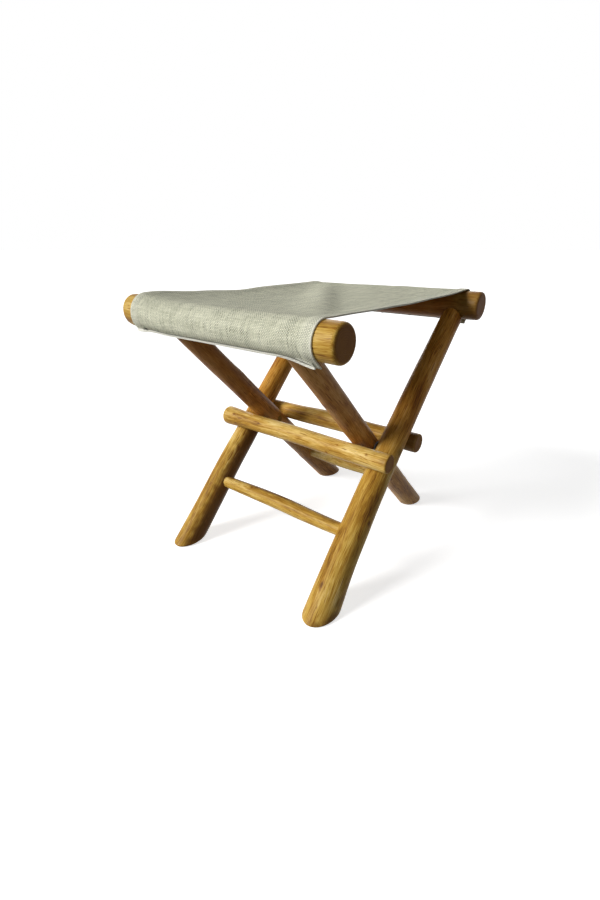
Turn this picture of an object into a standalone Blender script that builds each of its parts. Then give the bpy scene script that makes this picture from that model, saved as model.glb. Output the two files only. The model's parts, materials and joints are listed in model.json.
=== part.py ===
"""Folding stool: two crossed frames of round wooden poles on one pivot, with a cloth sling seat.

Metres, +Z up. X runs along the seat rails, -Y is the front, and the origin lies on the floor in the
middle of the four feet. The outer frame has its feet at the front and its rail at the rear. The inner
frame has its feet at the rear and its rail at the front, and turns inside the outer one about the
pivot. Each frame carries a stop bar in the crotch of the crossed legs, which ends the opening.
"""
import math
from typing import NamedTuple

import bmesh
import bpy
from mathutils import Matrix, Vector

# Frame
RAIL_HEIGHT = 0.400
RAIL_SPREAD = 0.413
FOOT_SPREAD = 0.388
OUTER_LEG_SPREAD = 0.293

# Seat rails
RAIL_LENGTH = 0.382
RAIL_DIAMETER = 0.047
RAIL_END_ROUNDING = 0.005

# Legs, tapered from the foot to the crossing and on to the rail
OUTER_CROSSING_DIAMETER = 0.041
INNER_CROSSING_DIAMETER = 0.0374
OUTER_LEFT_FOOT_DIAMETER = 0.0455
OUTER_RIGHT_FOOT_DIAMETER = 0.0500
INNER_LEFT_FOOT_DIAMETER = 0.0430
INNER_RIGHT_FOOT_DIAMETER = 0.0400
OUTER_LEFT_TOP_DIAMETER = 0.0360
OUTER_RIGHT_TOP_DIAMETER = 0.0345
INNER_LEFT_TOP_DIAMETER = 0.0330
INNER_RIGHT_TOP_DIAMETER = 0.0345
OUTER_LEFT_FOOT_STRAY = 0.003
OUTER_RIGHT_FOOT_STRAY = 0.009
INNER_LEFT_FOOT_STRAY = 0.002
INNER_RIGHT_FOOT_STRAY = 0.002
OUTER_LEFT_TOP_STRAY = 0.001
OUTER_RIGHT_TOP_STRAY = 0.003
INNER_LEFT_TOP_STRAY = 0.003
INNER_RIGHT_TOP_STRAY = 0.005
FOOT_ROUNDING = 0.006
CROSSING_FLAT_DEPTH = 0.0006
CROSSING_FLAT_LENGTH = 0.026
TENON_DIAMETER = 0.021
TENON_REACH = 0.010
PEG_DIAMETER = 0.005
PEG_REACH = 0.012

# Stop bars
BAR_LENGTH = 0.350
BAR_DIAMETER = 0.030
BAR_END_ROUNDING = 0.005
BAR_BOW = 0.0015
SADDLE_DEPTH = 0.0015
STOP_GAP = 0.0004
DOWEL_DIAMETER = 0.008
DOWEL_LEG_DEPTH = 0.014
DOWEL_BAR_DEPTH = 0.018

# Lower rungs
RUNG_HEIGHT = 0.088
RUNG_DIAMETER = 0.0235
RUNG_END_DIAMETER = 0.0195
RUNG_TENON_LENGTH = 0.016
RUNG_END_ROUNDING = 0.001
RUNG_BOW = 0.002

# Pivot hardware
BOLT_DIAMETER = 0.006
BOLT_HEAD_DIAMETER = 0.012
BOLT_HEAD_THICKNESS = 0.004
BOLT_HEAD_SEAT = 0.006
NUT_WIDTH = 0.010
NUT_THICKNESS = 0.005
NUT_SEAT = 0.005
BOLT_TAIL = 0.0006
WASHER_DIAMETER = 0.018
WASHER_THICKNESS = 0.0025
PLUG_DIAMETER = 0.0134

# Cloth sling
SLING_WIDTH = 0.330
SLING_OFFSET = -0.002
SLING_THICKNESS = 0.0016
WRAP_ANGLE = math.radians(172)
HEM_LENGTH = 0.002
SEAT_SAG_LEFT = 0.008
SEAT_SAG_MIDDLE = 0.008
SEAT_SAG_RIGHT = 0.002
FOLD_HEIGHT = 0.004
FOLD_WIDTH = 0.024
FOLD_LENGTH = 0.150
FOLD_HEADING = math.radians(-48)

# Tacks under the rails
TACKS_PER_RAIL = 5
TACK_ANGLE = math.radians(168)
TACK_HEAD_DIAMETER = 0.008
TACK_HEAD_THICKNESS = 0.0010
TACK_SHANK_DIAMETER = 0.0018
TACK_LENGTH = 0.012
TACK_LEG_CLEARANCE = 0.012

# Clearances
FIT_GAP = 0.0003
CLOTH_GAP = 0.0005

# Faceting
POLE_RESOLUTION = 6
LEG_RINGS = 9
BAR_RINGS = 8
RUNG_RINGS = 8
END_RINGS = 2
FOOT_RINGS = 3
TURNED_STEPS = 16
TACK_STEPS = 10
SLING_COLUMNS = 14
SPAN_ROWS = 12
FLAP_ROWS = 13

CLOSE = 1e-6
OVERRUN = 0.01

FRONT = -1
REAR = 1
LEFT = -1
RIGHT = 1
SIDE_NAMES = {LEFT: "left", RIGHT: "right"}


class Leg(NamedTuple):
    """A pole leg. The strays are how far the natural pole leaves its line along X at its foot and its top."""
    rail_side: int
    side: int
    foot_diameter: float
    top_diameter: float
    foot_stray: float
    top_stray: float


LEGS = {
    "outer_leg_left": Leg(REAR, LEFT, OUTER_LEFT_FOOT_DIAMETER, OUTER_LEFT_TOP_DIAMETER,
                          OUTER_LEFT_FOOT_STRAY, OUTER_LEFT_TOP_STRAY),
    "outer_leg_right": Leg(REAR, RIGHT, OUTER_RIGHT_FOOT_DIAMETER, OUTER_RIGHT_TOP_DIAMETER,
                           OUTER_RIGHT_FOOT_STRAY, OUTER_RIGHT_TOP_STRAY),
    "inner_leg_left": Leg(FRONT, LEFT, INNER_LEFT_FOOT_DIAMETER, INNER_LEFT_TOP_DIAMETER,
                          INNER_LEFT_FOOT_STRAY, INNER_LEFT_TOP_STRAY),
    "inner_leg_right": Leg(FRONT, RIGHT, INNER_RIGHT_FOOT_DIAMETER, INNER_RIGHT_TOP_DIAMETER,
                           INNER_RIGHT_FOOT_STRAY, INNER_RIGHT_TOP_STRAY),
}

# How far round its rail each corner of the cloth clings before it hangs loose
CORNER_ANGLES = {
    (FRONT, LEFT): math.radians(160),
    (FRONT, RIGHT): math.radians(125),
    (REAR, LEFT): math.radians(150),
    (REAR, RIGHT): math.radians(140),
}

# Worked out from the sizes above
HALF_RAILS = RAIL_SPREAD / 2
HALF_FEET = FOOT_SPREAD / 2
LEAN_RUN = HALF_RAILS + HALF_FEET
LEG_LENGTH = math.hypot(LEAN_RUN, RAIL_HEIGHT)
LEAN_Y = LEAN_RUN / LEG_LENGTH
LEAN_Z = RAIL_HEIGHT / LEG_LENGTH
PIVOT_ALONG = HALF_FEET / LEAN_Y
PIVOT_HEIGHT = PIVOT_ALONG * LEAN_Z
RAIL_RADIUS = RAIL_DIAMETER / 2
BAR_RADIUS = BAR_DIAMETER / 2
CROSSING_RADIUS = {REAR: OUTER_CROSSING_DIAMETER / 2, FRONT: INNER_CROSSING_DIAMETER / 2}
OUTER_FLAT = CROSSING_RADIUS[REAR] - CROSSING_FLAT_DEPTH
INNER_FLAT = CROSSING_RADIUS[FRONT] - CROSSING_FLAT_DEPTH
OUTER_LEG_X = OUTER_LEG_SPREAD / 2
INNER_LEG_X = OUTER_LEG_X - OUTER_FLAT - INNER_FLAT - WASHER_THICKNESS - 2 * FIT_GAP
LEG_X = {REAR: OUTER_LEG_X, FRONT: INNER_LEG_X}
CLOTH_RADIUS = RAIL_RADIUS + CLOTH_GAP + SLING_THICKNESS / 2
FLAP_LENGTH = CLOTH_RADIUS * WRAP_ANGLE + HEM_LENGTH
RUNG_ALONG = RUNG_HEIGHT / LEAN_Z


# Materials

def make_material(name, colour, roughness, metallic=0.0):
    material = bpy.data.materials.new(name)
    material.use_nodes = True
    shader = material.node_tree.nodes["Principled BSDF"]
    shader.inputs["Base Color"].default_value = (*colour, 1.0)
    shader.inputs["Roughness"].default_value = roughness
    shader.inputs["Metallic"].default_value = metallic
    return material


# Placing and joining

def make_empty(name, location, collection):
    empty = bpy.data.objects.new(name, None)
    empty.location = location
    empty.empty_display_size = RAIL_DIAMETER
    collection.objects.link(empty)
    return empty


def add_part(stool, name, mesh, matrix, rail_side, material):
    """One named sub-part, placed by matrix and carried by the frame that rail_side names."""
    mesh.name = name
    mesh.materials.append(stool.materials[material])
    mesh.shade_smooth()
    mesh.set_sharp_from_angle(angle=math.radians(40))
    part = bpy.data.objects.new(name, mesh)
    stool.parts.objects.link(part)
    frame = stool.frames[rail_side]
    part.parent = frame
    part.matrix_parent_inverse = frame.matrix_world.inverted()
    part.matrix_basis = matrix
    return part


def add_cutter(stool, name, mesh, matrix):
    cutter = bpy.data.objects.new(name, mesh)
    cutter.matrix_basis = matrix
    cutter.display_type = "WIRE"
    cutter.hide_render = True
    stool.cutters.objects.link(cutter)
    return cutter


def combine(part, other, operation="DIFFERENCE"):
    modifier = part.modifiers.new(other.name, "BOOLEAN")
    modifier.operation = operation
    modifier.solver = "EXACT"
    modifier.object = other


def aim(start, direction):
    """A frame at start whose local Z runs along direction."""
    turn = Vector(direction).to_track_quat("Z", "Y")
    return Matrix.Translation(start) @ turn.to_matrix().to_4x4()


def along_x(centre, length):
    """A frame for a pole whose local Z runs along +X, centred on a point."""
    return aim(Vector(centre) - Vector((length / 2, 0, 0)), (1, 0, 0))


# Basic shapes

def finish_mesh(name, bm):
    bmesh.ops.recalc_face_normals(bm, faces=bm.faces)
    mesh = bpy.data.meshes.new(name)
    bm.to_mesh(mesh)
    bm.free()
    return mesh


def tube_mesh(name, points, radii):
    """A closed tube through points, from a bevelled curve with its caps welded."""
    curve = bpy.data.curves.new(name, "CURVE")
    curve.dimensions = "3D"
    curve.bevel_depth = 1.0
    curve.bevel_resolution = POLE_RESOLUTION
    curve.use_fill_caps = True
    spline = curve.splines.new("POLY")
    spline.points.add(len(points) - 1)
    for knot, point, radius in zip(spline.points, points, radii):
        knot.co = (*point, 1.0)
        knot.radius = radius
    holder = bpy.data.objects.new(name, curve)
    bpy.context.scene.collection.objects.link(holder)
    evaluated = holder.evaluated_get(bpy.context.evaluated_depsgraph_get())
    bm = bmesh.new()
    rough = bpy.data.meshes.new_from_object(evaluated)
    bm.from_mesh(rough)
    bpy.data.meshes.remove(rough)
    bpy.data.objects.remove(holder)
    bpy.data.curves.remove(curve)
    bmesh.ops.remove_doubles(bm, verts=bm.verts, dist=CLOSE)
    return finish_mesh(name, bm)


def pole_mesh(name, length, radius_at, rise_at, rounding, shoulder, rings, grow=0.0):
    """A round pole along local Z with rounded ends and rings from one shoulder to the other.

    rise_at gives its bow along local Y."""
    end = []
    for ring in range(END_RINGS + 1):
        turn = math.pi / 2 * ring / END_RINGS
        end.append((rounding * (1 - math.cos(turn)), rounding * (1 - math.sin(turn))))
    between = [shoulder + (length - 2 * shoulder) * ring / rings for ring in range(rings + 1)]
    stations = list(end)
    stations += [(place, 0.0) for place in between if CLOSE < place - rounding < length - 2 * rounding - CLOSE]
    stations += [(length - place, loss) for place, loss in reversed(end)]
    points = [(0.0, rise_at(place), place) for place, _ in stations]
    radii = [radius_at(place) - loss + grow for place, loss in stations]
    return tube_mesh(name, points, radii)


def cylinder_mesh(name, radius, length, segments=TURNED_STEPS):
    """A plain cylinder along local Z from 0 to length."""
    bm = bmesh.new()
    bmesh.ops.create_cone(bm, cap_ends=True, segments=segments, radius1=radius, radius2=radius,
                          depth=length, matrix=Matrix.Translation((0, 0, length / 2)))
    return finish_mesh(name, bm)


def turned_mesh(name, profile, steps=TURNED_STEPS):
    """A solid turned about local Z. profile is (radius, height) from one end of the axis to the other."""
    bm = bmesh.new()
    knots = [bm.verts.new((radius, 0.0, height)) for radius, height in profile]
    edges = [bm.edges.new(pair) for pair in zip(knots, knots[1:])]
    bmesh.ops.spin(bm, geom=knots + edges, axis=(0, 0, 1), cent=(0, 0, 0), angle=math.tau,
                   steps=steps, use_merge=True)
    bmesh.ops.remove_doubles(bm, verts=bm.verts, dist=CLOSE)
    return finish_mesh(name, bm)


def pin_mesh(name, diameter, length):
    """A wooden pin with chamfered ends."""
    radius = diameter / 2
    chamfer = diameter / 8
    profile = [
        (0.0, 0.0),
        (radius - chamfer, 0.0),
        (radius, chamfer),
        (radius, length - chamfer),
        (radius - chamfer, length),
        (0.0, length),
    ]
    return turned_mesh(name, profile)


def bore(stool, name, radius, start, end):
    """A round cutter between two points."""
    run = Vector(end) - Vector(start)
    return add_cutter(stool, name, cylinder_mesh(name, radius, run.length), aim(start, run))


# Where things lie

def smooth(share):
    share = min(1.0, max(0.0, share))
    return share * share * (3 - 2 * share)


def lean(rail_side):
    """Unit vector up the legs of the frame whose rail is on that side."""
    return Vector((0.0, rail_side * LEAN_Y, LEAN_Z))


def bar_normal(rail_side):
    """Unit vector square to those legs, from their axes towards their own stop bar."""
    return Vector((0.0, -rail_side * LEAN_Z, LEAN_Y))


def rail_axis(rail_side):
    return Vector((0.0, rail_side * HALF_RAILS, RAIL_HEIGHT))


def leg_x(leg, along):
    """The leg's place along X at a distance along it from the floor."""
    below = max(0.0, 1 - along / PIVOT_ALONG)
    above = max(0.0, (along - PIVOT_ALONG) / (LEG_LENGTH - PIVOT_ALONG))
    straight = leg.side * LEG_X[leg.rail_side]
    return straight + leg.foot_stray * below ** 2 + leg.top_stray * above ** 2


def leg_point(leg, along):
    foot = Vector((0.0, -leg.rail_side * HALF_FEET, 0.0))
    return foot + lean(leg.rail_side) * along + Vector((leg_x(leg, along), 0.0, 0.0))


def leg_radius(leg, along):
    crossing = CROSSING_RADIUS[leg.rail_side]
    if along < PIVOT_ALONG:
        share = max(0.0, along) / PIVOT_ALONG
        return leg.foot_diameter / 2 * (1 - share) + crossing * share
    share = (along - PIVOT_ALONG) / (LEG_LENGTH - PIVOT_ALONG)
    return crossing * (1 - share) + leg.top_diameter / 2 * share


def legs_of(rail_side):
    return {name: leg for name, leg in LEGS.items() if leg.rail_side == rail_side}


def widest(rail_side, along):
    return max(leg_radius(leg, along) for leg in legs_of(rail_side).values())


def bar_axis(rail_side):
    """Centre of the stop bar: in a saddle on its own legs, just clear of the legs that it stops."""
    own_along = PIVOT_ALONG - CROSSING_RADIUS[-rail_side] - BAR_RADIUS
    other_along = PIVOT_ALONG + CROSSING_RADIUS[rail_side] + BAR_RADIUS
    own = widest(rail_side, own_along) + BAR_RADIUS - SADDLE_DEPTH
    other = widest(-rail_side, other_along) + BAR_RADIUS + STOP_GAP
    y = -rail_side * (own + other) / (2 * LEAN_Z)
    z = PIVOT_HEIGHT + (own - other) / (2 * LEAN_Y)
    return Vector((0.0, y, z))


def bar_seat_along(rail_side):
    """How far up its own legs the stop bar sits."""
    pivot = Vector((0.0, 0.0, PIVOT_HEIGHT))
    return PIVOT_ALONG + (bar_axis(rail_side) - pivot).dot(lean(rail_side))


# Rails

def rail_mesh(name, grow=0.0):
    return pole_mesh(name, RAIL_LENGTH, lambda place: RAIL_RADIUS, lambda place: 0.0,
                     RAIL_END_ROUNDING, RAIL_END_ROUNDING, 1, grow)


def build_rail(stool, rail_side):
    name = {FRONT: "front_seat_rail", REAR: "rear_seat_rail"}[rail_side]
    matrix = along_x(rail_axis(rail_side), RAIL_LENGTH)
    stool.rails[rail_side] = add_part(stool, name, rail_mesh(name), matrix, rail_side, "pole_wood")
    grown = rail_mesh(name + "_cope", FIT_GAP)
    stool.copes[rail_side] = add_cutter(stool, name + "_cope", grown, matrix)


# Legs

def cut_foot(mesh, matrix):
    """Cuts a leg flat on the floor and rounds the edge of its sole."""
    bm = bmesh.new()
    bm.from_mesh(mesh)
    to_local = matrix.inverted()
    everything = bm.verts[:] + bm.edges[:] + bm.faces[:]
    cut = bmesh.ops.bisect_plane(bm, geom=everything, dist=CLOSE, plane_co=to_local.translation,
                                 plane_no=to_local.to_3x3() @ Vector((0, 0, 1)), clear_inner=True)
    rim = [item for item in cut["geom_cut"] if isinstance(item, bmesh.types.BMEdge)]
    bmesh.ops.contextual_create(bm, geom=rim)
    bmesh.ops.bevel(bm, geom=rim, offset=FOOT_ROUNDING, offset_type="OFFSET", segments=FOOT_RINGS,
                    profile=0.5, affect="EDGES", clamp_overlap=True, material=-1)
    bmesh.ops.recalc_face_normals(bm, faces=bm.faces)
    bm.to_mesh(mesh)
    bm.free()


def leg_pole(name, leg, matrix):
    """The bare pole, from its sole on the floor to the axis of its rail."""
    start = -leg.foot_diameter
    clear = leg.foot_diameter
    stations = [start]
    stations += [clear + (LEG_LENGTH - clear) * ring / LEG_RINGS for ring in range(LEG_RINGS + 1)]
    to_local = matrix.inverted()
    points = [to_local @ leg_point(leg, along) for along in stations]
    mesh = tube_mesh(name, points, [leg_radius(leg, along) for along in stations])
    cut_foot(mesh, matrix)
    return mesh


def build_leg(stool, name, leg):
    matrix = aim(leg_point(leg, PIVOT_ALONG), lean(leg.rail_side))
    part = add_part(stool, name, leg_pole(name, leg, matrix), matrix, leg.rail_side, "pole_wood")
    stool.legs[name] = part
    stool.poles[name] = add_cutter(stool, name + "_pole", leg_pole(name + "_pole", leg, matrix), matrix)
    combine(part, stool.copes[leg.rail_side])
    add_tenon(stool, name, leg, part)
    plane_crossing(stool, name, leg, part)


def add_tenon(stool, name, leg, part):
    """A round tenon into a blind mortise in the rail, locked by a peg across it."""
    up = lean(leg.rail_side)
    centre = leg_point(leg, LEG_LENGTH)
    root = centre - up * (RAIL_DIAMETER + TENON_DIAMETER)
    tip = centre + up * TENON_REACH
    combine(part, bore(stool, name + "_tenon", TENON_DIAMETER / 2, root, tip), "UNION")
    mortise = bore(stool, name + "_mortise", TENON_DIAMETER / 2 + FIT_GAP, root, tip + up * FIT_GAP)
    rail = stool.rails[leg.rail_side]
    combine(rail, mortise)
    inward = bar_normal(leg.rail_side)
    foot = centre - inward * PEG_REACH
    length = PEG_REACH + RAIL_RADIUS * math.cos(math.asin(PEG_DIAMETER / RAIL_DIAMETER)) - FIT_GAP
    rail_name = {FRONT: "front_rail_peg_", REAR: "rear_rail_peg_"}[leg.rail_side]
    peg_name = rail_name + SIDE_NAMES[leg.side]
    add_part(stool, peg_name, pin_mesh(peg_name, PEG_DIAMETER, length), aim(foot, inward),
             leg.rail_side, "plug_wood")
    hole = bore(stool, peg_name + "_hole", PEG_DIAMETER / 2 + FIT_GAP, foot - inward * FIT_GAP,
                centre + inward * (RAIL_RADIUS + OVERRUN))
    combine(part, hole)
    combine(rail, hole)


def plane_crossing(stool, name, leg, part):
    """A small flat on the side that faces the other frame's leg, for the washer."""
    facing = -leg.side * leg.rail_side
    flat = {REAR: OUTER_FLAT, FRONT: INNER_FLAT}[leg.rail_side]
    bm = bmesh.new()
    bmesh.ops.create_cube(bm, size=1.0)
    bmesh.ops.scale(bm, verts=bm.verts, vec=(OVERRUN, CROSSING_FLAT_LENGTH, CROSSING_FLAT_LENGTH))
    centre = leg_point(leg, PIVOT_ALONG) + Vector((facing * (flat + OVERRUN / 2), 0, 0))
    combine(part, add_cutter(stool, name + "_flat", finish_mesh(name + "_flat", bm),
                             Matrix.Translation(centre)))


# Stop bars

def bar_mesh(name, grow=0.0):
    free = INNER_LEG_X - CROSSING_RADIUS[FRONT]

    def rise(place):
        return BAR_BOW * smooth(1 - abs(place - BAR_LENGTH / 2) / free)

    return pole_mesh(name, BAR_LENGTH, lambda place: BAR_RADIUS, rise, BAR_END_ROUNDING,
                     BAR_END_ROUNDING, BAR_RINGS, grow)


def build_stop_bar(stool, rail_side):
    front_or_rear = {REAR: "front", FRONT: "rear"}[rail_side]
    name = front_or_rear + "_stop_bar"
    axis = bar_axis(rail_side)
    matrix = along_x(axis, BAR_LENGTH)
    bar = add_part(stool, name, bar_mesh(name), matrix, rail_side, "pole_wood")
    saddle = add_cutter(stool, name + "_saddle", bar_mesh(name + "_saddle", FIT_GAP), matrix)
    out = bar_normal(rail_side)
    for leg_name, leg in legs_of(rail_side).items():
        along = bar_seat_along(rail_side)
        mouth = leg_point(leg, along) + out * (leg_radius(leg, along) - SADDLE_DEPTH)
        foot = mouth - out * DOWEL_LEG_DEPTH
        length = DOWEL_LEG_DEPTH + DOWEL_BAR_DEPTH
        dowel = front_or_rear + "_bar_dowel_" + SIDE_NAMES[leg.side]
        add_part(stool, dowel, pin_mesh(dowel, DOWEL_DIAMETER, length), aim(foot, out), rail_side,
                 "plug_wood")
        hole = bore(stool, dowel + "_hole", DOWEL_DIAMETER / 2 + FIT_GAP, foot - out * FIT_GAP,
                    foot + out * (length + FIT_GAP))
        combine(stool.legs[leg_name], saddle)
        combine(stool.legs[leg_name], hole)
        combine(bar, hole)


# Rungs

def rung_radius(place, length):
    """Thin where it enters the legs, swelling towards the middle."""
    free = length / 2 - RUNG_TENON_LENGTH
    inset = min(place, length - place) - RUNG_TENON_LENGTH
    share = min(1.0, max(0.0, inset / free))
    swell = 1 - (1 - share) ** 2
    return (RUNG_END_DIAMETER + (RUNG_DIAMETER - RUNG_END_DIAMETER) * swell) / 2


def build_rung(stool, rail_side):
    name = {REAR: "front_rung", FRONT: "rear_rung"}[rail_side]
    ends = {}
    for leg_name, leg in legs_of(rail_side).items():
        centre = leg_point(leg, RUNG_ALONG)
        inner_side = centre - Vector((leg.side * leg_radius(leg, RUNG_ALONG), 0, 0))
        tip = inner_side + Vector((leg.side * RUNG_TENON_LENGTH, 0, 0))
        ends[leg.side] = tip
        mouth = inner_side - Vector((leg.side * OVERRUN, 0, 0))
        mortise = bore(stool, leg_name + "_rung_mortise", RUNG_END_DIAMETER / 2 + FIT_GAP, mouth,
                       tip + Vector((leg.side * FIT_GAP, 0, 0)))
        combine(stool.legs[leg_name], mortise)
    length = ends[RIGHT].x - ends[LEFT].x

    def rise(place):
        free = length - 2 * RUNG_TENON_LENGTH
        share = min(1.0, max(0.0, (place - RUNG_TENON_LENGTH) / free))
        return RUNG_BOW * math.sin(math.pi * share) ** 2

    mesh = pole_mesh(name, length, lambda place: rung_radius(place, length), rise, RUNG_END_ROUNDING,
                     RUNG_TENON_LENGTH, RUNG_RINGS)
    add_part(stool, name, mesh, aim(ends[LEFT], (1, 0, 0)), rail_side, "pole_wood")


# Pivot

def build_pivot(stool, side):
    """Bolt, washer, nut and plugs on the crossing's axis, on one side of the stool."""
    tag = SIDE_NAMES[side]
    out = Vector((side, 0, 0))
    pivot = Vector((0, 0, PIVOT_HEIGHT))
    outer_axis = pivot + out * OUTER_LEG_X
    inner_axis = pivot + out * INNER_LEG_X
    outer_leg = stool.legs["outer_leg_" + tag]
    inner_leg = stool.legs["inner_leg_" + tag]

    head_seat = outer_axis + out * BOLT_HEAD_SEAT
    nut_face = inner_axis - out * (NUT_SEAT + FIT_GAP)
    nut_back = nut_face - out * NUT_THICKNESS
    tail = nut_back - out * BOLT_TAIL
    grip = (head_seat - tail).length
    shank = BOLT_DIAMETER / 2
    head = BOLT_HEAD_DIAMETER / 2
    profile = [
        (0.0, 0.0),
        (shank, 0.0),
        (shank, grip + FIT_GAP),
        (head, grip + FIT_GAP),
        (head, grip + FIT_GAP + BOLT_HEAD_THICKNESS),
        (0.0, grip + FIT_GAP + BOLT_HEAD_THICKNESS),
    ]
    bolt = "pivot_bolt_" + tag
    add_part(stool, bolt, turned_mesh(bolt, profile), aim(tail, out), REAR, "steel")

    far = out * (OUTER_CROSSING_DIAMETER + OVERRUN)
    shank_bore = bore(stool, bolt + "_bore", shank + FIT_GAP, inner_axis - far, outer_axis + far)
    combine(outer_leg, shank_bore)
    combine(inner_leg, shank_bore)

    washer = "pivot_washer_" + tag
    washer_face = inner_axis + out * (INNER_FLAT + FIT_GAP)
    ring = cylinder_mesh(washer, WASHER_DIAMETER / 2, WASHER_THICKNESS)
    combine(add_part(stool, washer, ring, aim(washer_face, out), REAR, "steel"), shank_bore)

    nut = "pivot_nut_" + tag
    hexagon = cylinder_mesh(nut, NUT_WIDTH / 2 / math.cos(math.pi / 6), NUT_THICKNESS, segments=6)
    combine(add_part(stool, nut, hexagon, aim(nut_back, out), REAR, "steel"), shank_bore)

    head_top = head_seat + out * (2 * FIT_GAP + BOLT_HEAD_THICKNESS)
    add_plug(stool, "outer_plug_" + tag, "outer_leg_" + tag, head_top, head_seat, out, REAR)
    nut_seat = inner_axis - out * NUT_SEAT
    add_plug(stool, "inner_plug_" + tag, "inner_leg_" + tag, tail - out * FIT_GAP, nut_seat, -out, FRONT)


def add_plug(stool, name, leg_name, inner_end, seat, out, rail_side):
    """A counterbore in the leg from seat outwards, closed by a wooden plug dressed flush with the pole."""
    reach = LEG_X[REAR]
    well = bore(stool, name + "_well", PLUG_DIAMETER / 2 + FIT_GAP, seat, seat + out * reach)
    combine(stool.legs[leg_name], well)
    plug = add_part(stool, name, cylinder_mesh(name, PLUG_DIAMETER / 2, reach), aim(inner_end, out),
                    rail_side, "plug_wood")
    combine(plug, stool.poles[leg_name], "INTERSECT")


# Cloth sling

def tack_reach(rail_side):
    """Half the width, between the legs, over which the cloth is tacked under a rail."""
    inner = min(abs(leg_x(leg, LEG_LENGTH)) - leg.top_diameter / 2 for leg in legs_of(rail_side).values())
    return inner - TACK_LEG_CLEARANCE


def cling_angle(x, rail_side):
    """How far round the rail, from its top, the cloth clings at a place along X."""
    reach = tack_reach(rail_side)
    side = RIGHT if x > 0 else LEFT
    edge = SLING_WIDTH / 2 + side * SLING_OFFSET
    loose = smooth((abs(x) - reach) / (edge - reach))
    return WRAP_ANGLE + (CORNER_ANGLES[(rail_side, side)] - WRAP_ANGLE) * loose


def sag(x):
    left = SLING_OFFSET - SLING_WIDTH / 2
    share = (x - left) / SLING_WIDTH
    ends = SEAT_SAG_LEFT * (1 - share) + SEAT_SAG_RIGHT * share
    middle = SEAT_SAG_MIDDLE - (SEAT_SAG_LEFT + SEAT_SAG_RIGHT) / 2
    return ends + middle * 4 * share * (1 - share)


def fold(x, y):
    """A soft ridge in the seat, running in from the rear rail's left end."""
    start = Vector((SLING_OFFSET - SLING_WIDTH / 2, HALF_RAILS))
    heading = Vector((math.cos(FOLD_HEADING), math.sin(FOLD_HEADING)))
    run = Vector((x, y)) - start
    along = run.dot(heading) / FOLD_LENGTH
    across = run.cross(heading) / FOLD_WIDTH
    return FOLD_HEIGHT * smooth(1 - abs(2 * along - 1)) * math.exp(-across * across)


def flap_point(x, rail_side, length):
    """Place (out, up) from the rail's axis of the cloth that lies a length away from the rail's top."""
    clung = min(length / CLOTH_RADIUS, cling_angle(x, rail_side))
    hang = length - CLOTH_RADIUS * clung
    out = CLOTH_RADIUS * math.sin(clung) + hang * math.cos(clung)
    up = CLOTH_RADIUS * math.cos(clung) - hang * math.sin(clung)
    return rail_side * (HALF_RAILS + out), RAIL_HEIGHT + up


def seat_point(x, share):
    """Place (y, z) of the seat's cloth at a share of the way from the front rail's top to the rear's."""
    y = (2 * share - 1) * HALF_RAILS
    return y, RAIL_HEIGHT + CLOTH_RADIUS - 4 * sag(x) * share * (1 - share) + fold(x, y)


def sling_section(x):
    """The cloth's path in a plane across X, from the front hem to the rear hem."""
    lengths = [FLAP_LENGTH * (1 - row / FLAP_ROWS) for row in range(FLAP_ROWS)]
    front = [flap_point(x, FRONT, length) for length in lengths]
    seat = [seat_point(x, row / SPAN_ROWS) for row in range(SPAN_ROWS + 1)]
    rear = [flap_point(x, REAR, length) for length in reversed(lengths)]
    return front + seat + rear


def build_sling(stool):
    left = SLING_OFFSET - SLING_WIDTH / 2
    sections = []
    for column in range(SLING_COLUMNS + 1):
        x = left + SLING_WIDTH * column / SLING_COLUMNS
        sections.append([(x, y, z) for y, z in sling_section(x)])
    rows = len(sections[0])
    bm = bmesh.new()
    bmesh.ops.create_grid(bm, x_segments=SLING_COLUMNS, y_segments=rows - 1, size=0.5)
    for vert in bm.verts:
        column = round((vert.co.x + 0.5) * SLING_COLUMNS)
        row = round((vert.co.y + 0.5) * (rows - 1))
        vert.co = sections[column][row]
    bmesh.ops.recalc_face_normals(bm, faces=bm.faces)
    mesh = bpy.data.meshes.new("seat_sling")
    bm.to_mesh(mesh)
    bm.free()
    sling = add_part(stool, "seat_sling", mesh, Matrix.Identity(4), REAR, "linen")
    shell = sling.modifiers.new("thickness", "SOLIDIFY")
    shell.thickness = SLING_THICKNESS
    shell.offset = 0.0
    shell.use_even_offset = True
    return sling


# Tacks

def build_tacks(stool, sling, rail_side):
    """A row of tacks up through the cloth into the underside of a rail."""
    label = {FRONT: "front_tack_", REAR: "rear_tack_"}[rail_side]
    reach = tack_reach(rail_side)
    down = Vector((0, rail_side * math.sin(TACK_ANGLE), math.cos(TACK_ANGLE)))
    seat = CLOTH_RADIUS + SLING_THICKNESS / 2 + FIT_GAP
    head = TACK_HEAD_DIAMETER / 2
    shank = TACK_SHANK_DIAMETER / 2
    profile = [
        (0.0, 0.0),
        (shank, TACK_SHANK_DIAMETER),
        (shank, TACK_LENGTH),
        (head, TACK_LENGTH),
        (head / 2, TACK_LENGTH + TACK_HEAD_THICKNESS),
        (0.0, TACK_LENGTH + TACK_HEAD_THICKNESS),
    ]
    for number in range(TACKS_PER_RAIL):
        name = label + str(number + 1)
        x = reach * (2 * number / (TACKS_PER_RAIL - 1) - 1)
        axis = rail_axis(rail_side) + Vector((x, 0, 0))
        point = axis + down * (seat - TACK_LENGTH)
        add_part(stool, name, turned_mesh(name, profile, TACK_STEPS), aim(point, down), rail_side, "steel")
        hole = bore(stool, name + "_hole", shank + FIT_GAP, point - down * FIT_GAP,
                    axis + down * (seat + FIT_GAP))
        combine(stool.rails[rail_side], hole)
        combine(sling, hole)


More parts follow.
